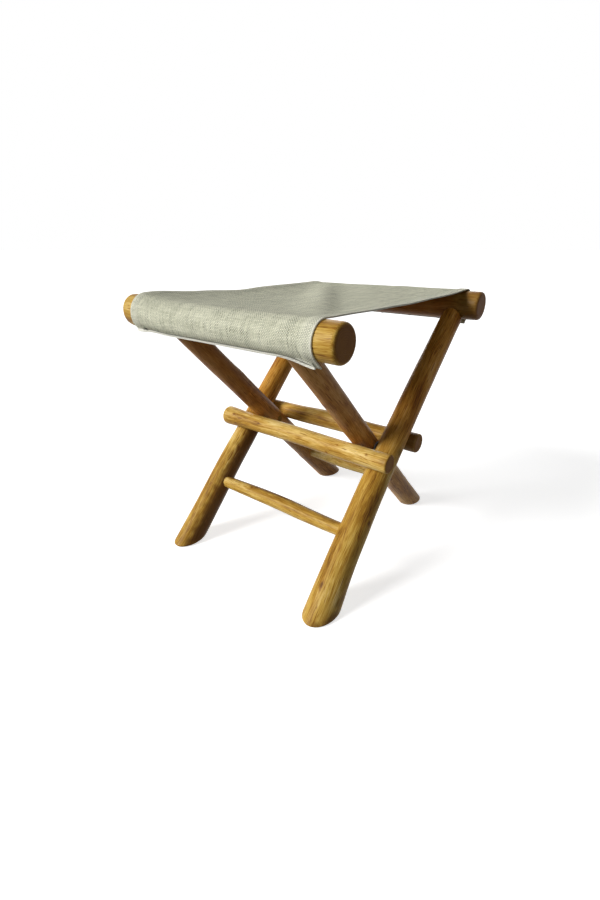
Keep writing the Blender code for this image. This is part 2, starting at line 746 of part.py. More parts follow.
class Stool:
    """Collections, materials and the pieces that later steps cut."""

    def __init__(self):
        self.parts = bpy.data.collections.new("folding_stool")
        self.cutters = bpy.data.collections.new("folding_stool_cutters")
        for collection in (self.parts, self.cutters):
            bpy.context.scene.collection.children.link(collection)
        pivot = (0, 0, PIVOT_HEIGHT)
        self.frames = {
            REAR: make_empty("outer_frame", pivot, self.parts),
            FRONT: make_empty("inner_frame", pivot, self.parts),
        }
        bpy.context.view_layer.update()
        self.materials = {
            "pole_wood": make_material("pole_wood", (0.42, 0.23, 0.07), 0.42),
            "plug_wood": make_material("plug_wood", (0.36, 0.20, 0.07), 0.50),
            "linen": make_material("linen", (0.52, 0.52, 0.42), 0.90),
            "steel": make_material("steel", (0.55, 0.55, 0.56), 0.35, 1.0),
        }
        self.rails = {}
        self.copes = {}
        self.legs = {}
        self.poles = {}


def clear_scene():
    for item in list(bpy.data.objects):
        bpy.data.objects.remove(item, do_unlink=True)


def main():
    clear_scene()
    stool = Stool()
    for rail_side in (REAR, FRONT):
        build_rail(stool, rail_side)
    for name, leg in LEGS.items():
        build_leg(stool, name, leg)
    for rail_side in (REAR, FRONT):
        build_stop_bar(stool, rail_side)
        build_rung(stool, rail_side)
    for side in (LEFT, RIGHT):
        build_pivot(stool, side)
    sling = build_sling(stool)
    for rail_side in (FRONT, REAR):
        build_tacks(stool, sling, rail_side)


main()
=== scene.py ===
"""Looks of a folding stool: varnished branch-wood poles on a pivot, and a slubby linen sling seat."""
import json
import math
from typing import NamedTuple

import bmesh
import bpy
from mathutils import Matrix, Vector, noise


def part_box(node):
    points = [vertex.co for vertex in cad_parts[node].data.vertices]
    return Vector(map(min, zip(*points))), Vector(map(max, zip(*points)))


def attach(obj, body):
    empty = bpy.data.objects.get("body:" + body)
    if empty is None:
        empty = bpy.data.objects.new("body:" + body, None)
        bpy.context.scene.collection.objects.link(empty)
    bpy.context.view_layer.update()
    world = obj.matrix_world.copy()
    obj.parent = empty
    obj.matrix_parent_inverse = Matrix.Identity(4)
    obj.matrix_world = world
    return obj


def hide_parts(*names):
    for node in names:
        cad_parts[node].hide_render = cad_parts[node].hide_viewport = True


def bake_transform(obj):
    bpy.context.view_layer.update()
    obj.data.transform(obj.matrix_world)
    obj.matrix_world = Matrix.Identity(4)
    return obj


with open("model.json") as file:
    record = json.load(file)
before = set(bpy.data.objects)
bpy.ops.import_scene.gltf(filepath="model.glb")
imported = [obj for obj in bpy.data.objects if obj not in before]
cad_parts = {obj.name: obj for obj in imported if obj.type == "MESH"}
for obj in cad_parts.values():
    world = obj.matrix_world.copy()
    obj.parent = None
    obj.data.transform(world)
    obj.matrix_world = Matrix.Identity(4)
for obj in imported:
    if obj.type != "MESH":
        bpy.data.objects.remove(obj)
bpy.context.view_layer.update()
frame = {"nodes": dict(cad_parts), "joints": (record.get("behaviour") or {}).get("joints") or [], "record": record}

# Camera of the photograph
CAMERA_PLACE = (0.46124, -0.62043, 0.49827)
CAMERA_HEADING = math.radians(38.81)
CAMERA_DIP = math.radians(24.10)
CAMERA_LENS = 18.47
CAMERA_SENSOR = 36.0
CAMERA_NEAR = 0.01

# Poles
RAIL_SKIN_SHARE = 0.996
BAR_SKIN_SHARE = 0.997
THINNING_RUN = 0.015
RUNG_DIAMETERS = (0.0215, 0.0242)
RUNG_TENON = 0.006
BAR_BOW = 0.0015
RUNG_BOW = 0.0020
POLE_SWAY = 0.0008
CROSSING_FLAT = 0.0130
CROSSING_CALM = 0.020
CALM_REACH = 0.050
SKIN_GAP = 0.0001
FOOT_BLEND = 0.080
COPE_BLEND = 0.040
ROW_STEP = 0.0030
ROUNDING_STEPS = 6
SAWN_SHARES = (0.0, 0.2, 0.4, 0.6, 0.8, 0.92)
MERGE_DISTANCE = 1e-6

# Plugs and pegs
PLUG_CROWN = 0.00025
PLUG_DEPTH = 0.003
PLUG_SHARES = (0.0, 0.3, 0.6, 0.85, 0.96)
PLUG_CUT = 0.3
PLUG_COLUMNS = 32
PLUG_SEED = 3
PEG_SEED = 9
PEG_SEAT_SHARE = 0.99

# Sling
CLOTH_THICKNESS = 0.0010
CLOTH_GAP = 0.0002
CLOTH_STEP = 0.0030
THREAD_PITCH = 0.0017
WARP_DARKNESS = 0.28
SIDE_HEM = 0.012
SIDE_HEM_STEPS = 5
EDGE_STEPS = 6
LAYER_HEIGHT = CLOTH_THICKNESS * 1.15
HEM_RAMP = 0.008
HEM_PALE = 0.10
EDGE_PALE = 0.40
WRAP_ANGLE = math.radians(172)
HEM_LENGTH = 0.002
HEM_ANGLE = math.radians(144)
HEM_BEAD = 0.0014
HEM_BEAD_BACK = 0.0004
HEM_BEAD_STEPS = 8
HEM_LIP = 0.0012
HEM_WAVE = 0.0005
HEM_STEP = 0.0013
HEM_STOP = 0.1572
REAR_HEM_START = 0.001
REAR_HEM_STOP = 0.002
TUCK_TURN = 1.4
TUCK_TURN_RUN = 1.2
TUCK_INSET = 0.002
TUCK_RUN = 0.020
DROOP_START = 0.105
DROOP_RUN = 0.050
DROOP_LENGTH = 0.0110
DROOP_ANGLE = math.radians(131)
TAB_RUN = 0.050
TAB_LENGTH = 0.0026
TAB_ANGLE = math.radians(122)
TAB_START = -0.003
TAB_STOP = 0.012
TAB_STOP_RUN = 0.002
TAB_BACK = 0.0050
TAB_BACK_RUN = 0.001
# Where the painted shadow of a gap lies, at the front hem's left end
HOLE_SHADE_PLACE = 0.0195
HOLE_SHADE_REACH = 0.0042
HOLE_SHADE_BACK = 0.0042
HOLE_SHADE_HEIGHT = 0.0026
HAIRPIN_START = 0.132
HAIRPIN_BACK = 0.0080
HAIRPIN_WIDTH = 0.0008
HAIRPIN_LIFT = 0.0009
HAIRPIN_NARROWING = 0.96
HAIRPIN_EDGE = 0.001
SAG_LEFT = 0.0018
SAG_RIGHT = 0.0030
EDGE_SLACK = 0.0026
EDGE_SLACK_PLACE = -0.012
EDGE_SLACK_RUN = 0.042
EDGE_SLACK_REACH = 0.070
FOLD_START = 0.036
FOLD_STOP = -0.012
NEAR_DIP = 0.0160
NEAR_DIP_WIDTH = 0.032
NEAR_DIP_RISE = 0.165
NEAR_DIP_HOLD = 0.090
FAR_DIP = 0.0064
FAR_DIP_WIDTH = 0.0200
FAR_DIP_RISE = 0.130
FAR_DIP_HOLD = 0.040
FAR_SLOPE_SHARE = 0.60
FAR_SLOPE_RUN = 0.055
RAIL_HOLD = 0.020
RAIL_EASE = 0.006
SLOPE_STEP = 0.002
PUFF_HEIGHT = 0.0038
PUFF_REACH = 0.045
PUFF_INSET = 0.020
REAR_PUFF = 0.0015
REAR_PUFF_START = -0.1
REAR_PUFF_RUN = 0.2
CREASE_HEIGHT = 0.0007
CREASE_HOLD = 0.05
STITCH_STEP = 0.0045
STITCH_LENGTH = 0.0034
STITCH_WIDTH = 0.0007
STITCH_INSET = 0.0085
STITCH_LIFT = CLOTH_THICKNESS * 1.7

# Tacks
TACKS = range(1, 6)
TACK_HEAD_RADIUS = 0.004
TACK_HEAD_HEIGHT = 0.0016
TACK_RIM_DEPTH = 0.0002
TACK_RIM_SHARE = 0.9
TACK_DOME_STEPS = 6
TACK_ROUND_STEPS = 24

# Stage, in grey levels and strengths
FLOOR_SIZE = 40.0
FLOOR_AS_LIGHT = 0.26
FLOOR_AS_SEEN = 0.86
FLOOR_GLOW = 0.70
WORLD_LIGHT = 0.055

FRONT = -1
REAR = 1
LEFT = -1
RIGHT = 1
SIDES = {"left": LEFT, "right": RIGHT}
BODIES = {REAR: "outer_frame", FRONT: "inner_frame"}
X_AXIS = Vector((1, 0, 0))
Y_AXIS = Vector((0, 1, 0))
Z_AXIS = Vector((0, 0, 1))


class PoleKind(NamedTuple):
    """How a kind of pole is made: the rounding of its ends, the columns of its skin and its first seed."""
    rounding: float
    columns: int
    seed: int


RAIL = PoleKind(0.0050, 56, 11)
LEG = PoleKind(0.0060, 56, 21)
BAR = PoleKind(0.0030, 48, 31)
RUNG = PoleKind(0.0010, 40, 41)


class LegSize(NamedTuple):
    """Diameters of a leg at its foot, at the crossing and at its rail."""
    foot: float
    crossing: float
    top: float


LEG_SIZES = {
    "outer_leg_left": LegSize(0.0455, 0.0410, 0.0360),
    "outer_leg_right": LegSize(0.0500, 0.0410, 0.0345),
    "inner_leg_left": LegSize(0.0430, 0.0374, 0.0330),
    "inner_leg_right": LegSize(0.0400, 0.0374, 0.0345),
}


class Knot(NamedTuple):
    """A knot on a pole: its place along it, its angle round it and its radius."""
    along: float
    angle: float
    radius: float


class StainAndShade(NamedTuple):
    """A dark blotch on a pole; some are the wood's own marks, others painted shade where the pole lies in shadow:
    its place and angle, its radius, its depth and half its straight run.
    """
    along: float
    angle: float
    radius: float
    depth: float
    reach: float = 0.0


class ShadeWash(NamedTuple):
    """A stretch of a pole painted redder, for the red cast of shade: where along it this starts, where it is full,
    and how strong it is.
    """
    start: float
    full: float
    depth: float


class Marks(NamedTuple):
    """What the wood shows at a point, each from 0 to 1: a knot, a sawn end, a dark blotch, which real marks and
    painted shade share, and a painted red cast of shade.
    """
    knot: float
    cut: float
    stain_and_shade: float = 0.0
    wash: float = 0.0


class Burl(NamedTuple):
    """A natural swelling of a bar or rung: its place along X, how far it reaches and how much it adds."""
    x: float
    reach: float
    height: float

    def swelling(self, x):
        away = (x - self.x) / self.reach
        return self.height * math.exp(-away * away)


# Marks of the single poles, with their angles in radians
KNOTS = {
    "front_stop_bar": (Knot(0.0275, 2.42, 0.0026), Knot(0.2420, 3.51, 0.0020), Knot(0.3145, 2.40, 0.0020),
                       Knot(0.2600, 2.30, 0.0016), Knot(0.0900, 2.60, 0.0017), Knot(0.1500, 5.60, 0.0035)),
    "rear_stop_bar": (Knot(0.0900, 0.70, 0.0030), Knot(0.2300, 2.60, 0.0026), Knot(0.2700, 5.20, 0.0034)),
    "outer_leg_left": (Knot(0.1908, 0.78, 0.0036), Knot(0.0800, 3.60, 0.0045), Knot(0.4200, 2.50, 0.0038)),
    "outer_leg_right": (Knot(0.0470, 1.70, 0.0034), Knot(0.1500, 0.30, 0.0036), Knot(0.1250, 4.30, 0.0050),
                        Knot(0.4300, 3.40, 0.0040)),
    "inner_leg_left": (Knot(0.4100, 1.10, 0.0038), Knot(0.1200, 4.20, 0.0045)),
    "inner_leg_right": (Knot(0.0900, 1.30, 0.0040), Knot(0.4300, 4.60, 0.0042), Knot(0.1600, 5.40, 0.0034)),
    "front_rung": (Knot(0.0700, 1.90, 0.0022), Knot(0.1800, 4.40, 0.0026)),
    "rear_rung": (Knot(0.0600, 4.80, 0.0045), Knot(0.1400, 1.00, 0.0026)),
}
# Dark blotches on single poles; the entries that paint shade are marked
STAINS_AND_SHADE = {
    "outer_leg_right": (StainAndShade(0.008, 0.25, 0.016, 0.75), StainAndShade(0.004, 1.10, 0.009, 0.65),
                        StainAndShade(0.030, 0.05, 0.014, 0.45)),
    # The long blotch down this leg's inner side is partly the wood's own darkness and partly painted shade on the
    # side turned from the light
    "outer_leg_left": (StainAndShade(0.006, 0.60, 0.012, 0.55), StainAndShade(0.135, 0.05, 0.028, 0.90, 0.115)),
    # On both inner legs the wide blotch at 0.5 is painted shade over the upper leg, which stands in the seat's
    # shadow
    "inner_leg_right": (StainAndShade(0.006, 1.20, 0.012, 0.55), StainAndShade(0.500, 0.0, 0.220, 0.30)),
    "inner_leg_left": (StainAndShade(0.006, 4.20, 0.012, 0.55), StainAndShade(0.500, 0.0, 0.220, 0.45)),
    "front_stop_bar": (StainAndShade(0.345, 2.60, 0.010, 0.45),),
    # Painted shade at the bar's right end, in the shadow of the outer right leg
    "rear_stop_bar": (StainAndShade(0.335, 2.60, 0.040, 0.80), StainAndShade(0.335, 3.60, 0.040, 0.80)),
    # Painted shade: the rail's bare right end, its end face, and its side under the cloth
    "rear_seat_rail": (StainAndShade(0.372, 4.30, 0.034, 0.85), StainAndShade(0.390, 2.90, 0.100, 0.72),
                       StainAndShade(0.250, 3.30, 0.045, 0.60, 0.080)),
    # Darker along the rung's top
    "front_rung": (StainAndShade(0.130, 0.75, 0.016, 0.70, 0.120),),
}
NO_SHADE_WASH = ShadeWash(0.0, 1.0, 0.0)
# Painted red cast of shade: over the upper legs and the rear rail under the seat, and evenly along the rear stop
# bar
SHADE_WASHES = {
    "outer_leg_right": ShadeWash(0.220, 0.330, 0.72),
    "outer_leg_left": ShadeWash(0.200, 0.300, 0.60),
    "inner_leg_left": ShadeWash(0.180, 0.280, 0.25),
    "inner_leg_right": ShadeWash(0.180, 0.280, 0.25),
    "rear_seat_rail": ShadeWash(0.360, 0.325, 0.80),
    "rear_stop_bar": ShadeWash(-0.010, 0.0, 0.12),
}
RUNG_BURLS = {REAR: Burl(0.020, 0.060, 0.0004), FRONT: Burl(-0.010, 0.055, 0.0036)}
BAR_BURLS = {
    REAR: (Burl(-0.170, 0.030, 0.0022),),
    FRONT: (Burl(0.165, 0.035, 0.0012), Burl(-0.010, 0.060, 0.0016)),
}

# How far the natural ends of the rails and bars rise out of line, and how far one rail's end overhangs
RAIL_RISES = {(FRONT, LEFT): 0.0060, (FRONT, RIGHT): 0.0012, (REAR, RIGHT): 0.0010}
RAIL_RISE_START = 0.100
RAIL_RISE_POWER = 1.2
RAIL_OVERHANGS = {FRONT: 0.004, REAR: 0.0}
BAR_RISES = {REAR: (0.0018, 0.0), FRONT: (0.0015, 0.0048)}

# How far a foot strays along X
FOOT_STRAYS = {"outer_leg_right": 0.0012}

# How much thinner each rail is under its cloth, and how far the cloth is drawn in under it
RAIL_THINNING = {FRONT: 0.050, REAR: 0.012}
UNDER_TUCKS = {FRONT: 0.0012, REAR: 0.0}

# How far round its rail each corner of the cloth clings before it hangs loose
CORNER_ANGLES = {
    (FRONT, LEFT): math.radians(165),
    (FRONT, RIGHT): math.radians(136),
    (REAR, LEFT): math.radians(150),
    (REAR, RIGHT): math.radians(129),
}

# Colours of the woods, from the palest grain to the darkest
WOODS = {
    "pole_wood": ((0.80, 0.63, 0.30), (0.58, 0.374, 0.080), (0.37, 0.190, 0.024), (0.12, 0.044, 0.008)),
    # A redder, darker copy of pole_wood for the inner legs: painted shade, as they stand in the seat's shadow
    "shaded_red_pole_wood": ((0.74, 0.46, 0.175), (0.57, 0.305, 0.076), (0.375, 0.163, 0.030),
                      (0.125, 0.045, 0.011)),
    "pale_pole_wood": ((0.88, 0.72, 0.40), (0.70, 0.495, 0.150), (0.48, 0.265, 0.042), (0.15, 0.058, 0.010)),
    "plug_wood": ((0.64, 0.45, 0.13), (0.48, 0.29, 0.045), (0.31, 0.155, 0.015), (0.10, 0.042, 0.007)),
}

# Tints and colours of the other finishes
CLEAR = (1, 1, 1)
FLECK_TINT = (0.55, 0.40, 0.25)
CRACK_TINT = (0.46, 0.34, 0.23)
KNOT_RIM_TINT = (0.78, 0.68, 0.58)
KNOT_CORE_TINT = (0.34, 0.24, 0.16)
# Painted red cast of shaded wood
SHADE_WASH_TINT = (1.0, 0.66, 0.50)
LINEN_LIGHT = (0.80, 0.79, 0.63)
LINEN_BASE = (0.55, 0.55, 0.41)
LINEN_SHADE = (0.17, 0.18, 0.13)
LINEN_EDGE = (0.93, 0.91, 0.81)
# Painted shade of the narrow gaps along the hems
GROOVE_SHADE_COLOUR = (0.05, 0.05, 0.04)
TAPE_LIGHT = (0.84, 0.81, 0.72)
TAPE_SHADE = (0.62, 0.59, 0.49)
# Painted shade: steel far darker than plated steel, for the washers in the crossing's shadowed gap
STEEL_LIGHT = (0.19, 0.185, 0.175)
STEEL_SHADE = (0.10, 0.095, 0.09)


# Lamps: heading (0 is the front, positive to the right), height and spread in degrees, and strength
LAMPS = {"key": ((-32, 27, 26), 3.85), "right_fill": ((62, 8, 60), 0.34), "rear_fill": ((-143, 12, 40), 0.9)}


def middle(node):
    low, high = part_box(node)
    return (low + high) / 2


def size(node):
    low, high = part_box(node)
    return high - low


# Places taken from the frame
PIVOT = Vector(frame["joints"][0]["pos_m"])
SOLES = {mount["name"]: Vector(mount["pos_m"]) for mount in frame["record"]["mounts"]}
RAIL_NODES = {FRONT: "front_seat_rail", REAR: "rear_seat_rail"}
BAR_NODES = {REAR: "front_stop_bar", FRONT: "rear_stop_bar"}
RUNG_NODES = {REAR: "front_rung", FRONT: "rear_rung"}
TACK_NODES = {FRONT: ["front_tack_" + str(number) for number in TACKS],
              REAR: ["rear_tack_" + str(number) for number in TACKS]}
RAILS = {side: Vector((0, middle(node).y, middle(node).z)) for side, node in RAIL_NODES.items()}
RAIL_RADIUS = size(RAIL_NODES[FRONT]).z / 2
HALF_RAIL_LENGTH = size(RAIL_NODES[FRONT]).x / 2
BAR_RADIUS = size(BAR_NODES[REAR]).y / 2
BAR_LENGTH = size(BAR_NODES[REAR]).x
HALF_RAILS = RAILS[REAR].y
RAIL_HEIGHT = RAILS[REAR].z
CLOTH_RADIUS = RAIL_RADIUS + CLOTH_GAP + CLOTH_THICKNESS / 2
FLAP_LENGTH = CLOTH_RADIUS * WRAP_ANGLE + HEM_LENGTH
HEM_RADIUS = CLOTH_RADIUS + CLOTH_THICKNESS
SLING_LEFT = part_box("seat_sling")[0].x
SLING_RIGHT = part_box("seat_sling")[1].x


def clamp(share):
    return min(1.0, max(0.0, share))


def smooth(share):
    share = clamp(share)
    return share * share * (3 - 2 * share)


def between(first, last, share):
    return first * (1 - share) + last * share


def rising(distance, scale):
    """From 0 at an edge towards 1 well away from it."""
    return 1 - math.exp(-max(0.0, distance) / scale)


def drift(seed, x, y=0.0, z=0.0):
    """Soft noise between about -1 and 1, the same on every run."""
    return noise.noise(Vector((x + 17.3 * seed, y - 5.1 * seed, z + 2.7 * seed)))


def rail_rise(rail_side, x):
    """How far a rail's natural end lies above its straight line."""
    height = RAIL_RISES.get((rail_side, RIGHT if x > 0 else LEFT), 0.0)
    share = max(0.0, (abs(x) - RAIL_RISE_START) / (HALF_RAIL_LENGTH - RAIL_RISE_START))
    return height * share ** RAIL_RISE_POWER


def bar_rise(rail_side, x):
    """How far a stop bar lies above its straight line."""
    return between(*BAR_RISES[rail_side], 0.5 + x / BAR_LENGTH)


# Materials

def maths(operation, swapped=False):
    """A method of a shader value that adds a Math node."""

    def method(self, other=0.0):
        first, second = (other, self) if swapped else (self, other)
        return self.shading.node("ShaderNodeMath", {"operation": operation}, {0: first, 1: second})

    return method


class Socket:
    """A shader value. Arithmetic on it adds Math nodes."""

    def __init__(self, shading, socket):
        self.shading = shading
        self.socket = socket

    __add__ = maths("ADD")
    __radd__ = maths("ADD", swapped=True)
    __sub__ = maths("SUBTRACT")
    __rsub__ = maths("SUBTRACT", swapped=True)
    __mul__ = maths("MULTIPLY")
    __rmul__ = maths("MULTIPLY", swapped=True)
    __truediv__ = maths("DIVIDE")
    __pow__ = maths("POWER")
    __abs__ = maths("ABSOLUTE")
    sine = maths("SINE")
    floor = maths("FLOOR")
    above = maths("GREATER_THAN")
    root = maths("SQRT")
    sign = maths("SIGN")
    most = maths("MAXIMUM")


class Shading:
    """A node tree and the shader in it that the other nodes feed."""

    def __init__(self, tree, shader):
        self.tree = tree
        self.shader = tree.nodes[shader]

    def feed(self, socket, value):
        if isinstance(value, Socket):
            self.tree.links.new(value.socket, socket)
        else:
            socket.default_value = value

    def shade(self, **values):
        """Sets or links the shader's sockets, named with _ for a space."""
        for name, value in values.items():
            self.feed(self.shader.inputs[name.replace("_", " ")], value)

    def node(self, kind, settings=None, inputs=None, output=0):
        made = self.tree.nodes.new(kind)
        for key, value in (settings or {}).items():
            if key == "stops":
                self.set_stops(made.color_ramp, value)
            else:
                setattr(made, key, value)
        for key, value in (inputs or {}).items():
            self.feed(made.inputs[key], value)
        return Socket(self, made.outputs[output])

    def set_stops(self, ramp, stops):
        while len(ramp.elements) < len(stops):
            ramp.elements.new(1.0)
        for element, (place, colour) in zip(ramp.elements, stops):
            element.position = place
            element.color = (*colour, 1.0)

    def attribute(self, name, output="Vector"):
        return self.node("ShaderNodeAttribute", {"attribute_name": name}, output=output)

    def place(self):
        return self.node("ShaderNodeTexCoord", output="Object")

    def seen(self):
        """1 for rays from the camera, also by way of a mirror or glass, and 0 for rays that gather light."""
        path = self.tree.nodes.new("ShaderNodeLightPath").outputs
        camera, glossy, through = [Socket(self, path["Is " + kind + " Ray"])
                                   for kind in ("Camera", "Glossy", "Transmission")]
        return camera.most(glossy).most(through)

    def split(self, vector):
        parts = self.tree.nodes.new("ShaderNodeSeparateXYZ")
        self.feed(parts.inputs[0], vector)
        return [Socket(self, output) for output in parts.outputs]

    def join(self, x, y, z):
        return self.node("ShaderNodeCombineXYZ", inputs={0: x, 1: y, 2: z})

    def stretch(self, vector, scale):
        return self.node("ShaderNodeVectorMath", {"operation": "MULTIPLY"}, {0: vector, 1: scale})

    def shift(self, vector, other):
        return self.node("ShaderNodeVectorMath", {"operation": "ADD"}, {0: vector, 1: other})

    def cloud(self, vector, detail=2.0, roughness=0.5, output=0):
        return self.node("ShaderNodeTexNoise", inputs={
            "Vector": vector, "Scale": 1.0, "Detail": detail, "Roughness": roughness}, output=output)

    def ramp(self, value, stops):
        return self.node("ShaderNodeValToRGB", {"stops": stops}, {0: value})

    def mix(self, share, first, second, blend="MIX"):
        return self.node("ShaderNodeMix", {"data_type": "RGBA", "blend_type": blend},
                         {0: share, 6: first, 7: second}, output=2)

    def tint(self, colour, value, stops):
        return self.mix(1.0, colour, self.ramp(value, stops), "MULTIPLY")

    def bump(self, height, strength, distance):
        self.shade(Normal=self.node("ShaderNodeBump", inputs={
            "Strength": strength, "Distance": distance, "Height": height}))


class Finish(Shading):
    """A material, with the values that are the same all over its surface."""

    def __init__(self, name, **values):
        self.material = bpy.data.materials.new(name)
        self.material.use_nodes = True
        super().__init__(self.material.node_tree, "Principled BSDF")
        self.shade(**values)


def varnished_wood(name, pale, gold, amber, brown):
    """Branch wood: streaks along the pole, knots, darker sawn ends, blotches partly of painted shade and a painted
    red cast of shade, all under a satin varnish.
    """
    finish = Finish(name, Coat_Weight=0.02, Coat_Roughness=0.25, Specular_IOR_Level=0.08)
    grain = finish.attribute("grain")
    knot, cut, stain_and_shade = finish.split(finish.attribute("marks"))
    wash = finish.attribute("wash", "Fac")
    dark = (*brown, 1.0)

    bend = finish.cloud(finish.stretch(grain, (26, 26, 7)), 1.0, output="Color")
    bend = finish.stretch(finish.shift(bend, (-0.5, -0.5, -0.5)), (0.012, 0.012, 0.0))
    flow = finish.shift(grain, bend)
    streaks = finish.cloud(finish.stretch(flow, (240, 240, 8)), 4.0, 0.62)
    fibres = finish.cloud(finish.stretch(flow, (1300, 1300, 45)), 2.0, 0.6)
    patches = finish.cloud(finish.stretch(grain, (34, 34, 12)), 2.0)
    flecks = finish.cloud(finish.stretch(flow, (520, 520, 70)), 2.0, 0.5)
    cracks = finish.cloud(finish.stretch(flow, (430, 430, 24)), 1.0, 0.5)

    x, y, _ = finish.split(flow)
    rings = ((x * x + y * y).root() * 2600.0).sine() * 0.5 + 0.5
    side_tone = streaks * 0.58 + fibres * 0.64 + patches * 0.82 - 0.550
    cut_tone = rings * 0.10 + fibres * 0.30 + patches * 0.3 - 0.05
    tone = side_tone + cut * (cut_tone - side_tone)
    colour = finish.ramp(tone, [(0.16, brown), (0.38, amber), (0.58, gold), (0.80, pale)])
    colour = finish.tint(colour, flecks, [(0.58, CLEAR), (0.76, FLECK_TINT)])
    colour = finish.tint(colour, cracks, [(0.65, CLEAR), (0.74, CRACK_TINT)])
    colour = finish.tint(colour, knot, [(0.36, CLEAR), (0.62, KNOT_RIM_TINT), (0.82, KNOT_CORE_TINT)])
    colour = finish.mix(cut * 0.80, colour, dark)
    # Dark blotches: the wood's own marks, and painted shade where a pole lies in shadow
    colour = finish.mix(stain_and_shade, colour, dark)
    # Painted red cast that wood takes in shade
    colour = finish.tint(colour, wash, [(0.0, CLEAR), (1.0, SHADE_WASH_TINT)])
    finish.shade(Base_Color=colour, Roughness=0.34 + streaks * 0.16 + cut * 0.2)
    finish.bump(streaks * 0.6 + fibres * 0.5 - knot * 0.5, 0.35, 0.0006)
    return finish.material


def plain_weave(name):
    """Coarse linen: a plain weave of uneven threads, the warp darker than the weft, with pale edges, painted shade
    where the threads dip and painted shade lines along the hems.
    """
    finish = Finish(name, Sheen_Weight=0.03, Sheen_Roughness=0.6, Specular_IOR_Level=0.1)
    across, along, _ = finish.split(finish.node("ShaderNodeUVMap", {"uv_map": "cloth"}))

    def noise_at(x_scale, y_scale, layer, detail=2.0, roughness=0.5):
        return finish.cloud(finish.join(across * x_scale, along * y_scale, layer), detail, roughness)

    sway = finish.cloud(finish.join(across * 30.0, along * 30.0, 0.0), 1.0, output="Color")
    sway_x, sway_y, _ = finish.split(sway)
    warp = across / THREAD_PITCH + (sway_x - 0.5) * 1.4
    weft = along / THREAD_PITCH + (sway_y - 0.5) * 1.4
    warp_wave = (warp * math.pi).sine()
    weft_wave = (weft * math.pi).sine()
    warp_height = abs(warp_wave) ** 0.6 * (0.55 + warp_wave.sign() * weft_wave * 0.45)
    weft_height = abs(weft_wave) ** 0.6 * (0.55 - weft_wave.sign() * warp_wave * 0.45)
    warp_on_top = warp_height.above(weft_height)
    relief = warp_height.most(weft_height)

    warp_tone = finish.cloud(finish.join(warp.floor() * 7.13, along * 40.0, 3.0), 2.0, 0.6)
    weft_tone = finish.cloud(finish.join(weft.floor() * 5.37, across * 40.0, 8.0), 2.0, 0.6)
    thread = weft_tone + warp_on_top * (warp_tone - weft_tone - WARP_DARKNESS)
    cloudy = noise_at(28.0, 28.0, 1.0)
    bands = noise_at(9.0, 120.0, 5.0, 1.0) + noise_at(75.0, 8.0, 6.0, 1.0)
    fuzz = noise_at(1500.0, 1500.0, 2.0, 2.0, 0.6)
    # relief darkens the colour where the threads dip: painted shade between the threads
    tone = thread * 1.12 + relief * 0.48 + bands * 0.24 + cloudy * 0.10 + fuzz * 0.16 - 0.57
    colour = finish.ramp(tone, [(0.10, LINEN_SHADE), (0.48, LINEN_BASE), (0.88, LINEN_LIGHT)])
    pale, groove_shade, _ = finish.split(finish.attribute("trim"))
    # Painted shade: a dark line above the hems' bead, and the shadowed gap by the front hem's tab
    colour = finish.mix(groove_shade * 0.9, colour, (*GROOVE_SHADE_COLOUR, 1.0))
    colour = finish.mix(pale, colour, (*LINEN_EDGE, 1.0))
    finish.shade(Base_Color=colour, Roughness=0.98 - thread * 0.16)
    finish.bump(relief * 0.9 + thread * 0.4 + fuzz * 0.15, 0.6, 0.0006)
    return finish.material


def twill_tape(name):
    """The sewing thread of the side hems, ribbed and a little soiled."""
    finish = Finish(name, Sheen_Weight=0.1, Specular_IOR_Level=0.2)
    place = finish.place()
    ribs = finish.cloud(finish.stretch(place, (900, 500, 500)), 2.0, 0.6)
    soil = finish.cloud(finish.stretch(place, (40, 40, 40)), 2.0)
    finish.shade(Base_Color=finish.ramp(ribs * 0.5 + soil * 0.5, [(0.3, TAPE_SHADE), (0.65, TAPE_LIGHT)]),
                 Roughness=0.95 - ribs * 0.15)
    finish.bump(ribs, 0.4, 0.0003)
    return finish.material


def plated_steel(name):
    """Zinc-plated steel, dulled, in a cloudy dark grey far darker than plated steel: painted shade, so the washers
    in the crossing's shadowed gap show no glint.
    """
    finish = Finish(name, Metallic=1.0)
    place = finish.place()
    cloudy = finish.cloud(finish.stretch(place, (260, 260, 260)), 3.0, 0.6)
    scratches = finish.cloud(finish.stretch(place, (1800, 1800, 200)), 1.0)
    finish.shade(Base_Color=finish.ramp(cloudy, [(0.35, STEEL_SHADE), (0.65, STEEL_LIGHT)]),
                 Roughness=0.50 + cloudy * 0.25)
    finish.bump(scratches, 0.15, 0.0002)
    return finish.material


# Skins: a grid whose columns go round a pole and whose rows run along it

class Row(NamedTuple):
    """One row of a skin: its place along the pole, what the rounded edge takes off its radius, its share of
    what is left, and how far it belongs to the sawn end."""
    along: float
    loss: float
    share: float
    cut: float


def end_rows(rounding):
    """From the centre of a sawn end out to its edge and round it."""
    rows = [Row(0.0, rounding, share, 1.0) for share in SAWN_SHARES]
    for step in range(ROUNDING_STEPS + 1):
        turn = math.pi / 2 * step / ROUNDING_STEPS
        rows.append(Row(rounding * (1 - math.cos(turn)), rounding * (1 - math.sin(turn)), 1.0,
                        1.0 - smooth(1.4 * step / ROUNDING_STEPS)))
    return rows


def pole_rows(length, rounding):
    start = end_rows(rounding)
    count = round((length - 2 * rounding) / ROW_STEP)
    step = (length - 2 * rounding) / count
    shaft = [Row(rounding + step * number, 0.0, 1.0, 0.0) for number in range(1, count)]
    finish = [row._replace(along=length - row.along) for row in reversed(start)]
    return start + shaft + finish


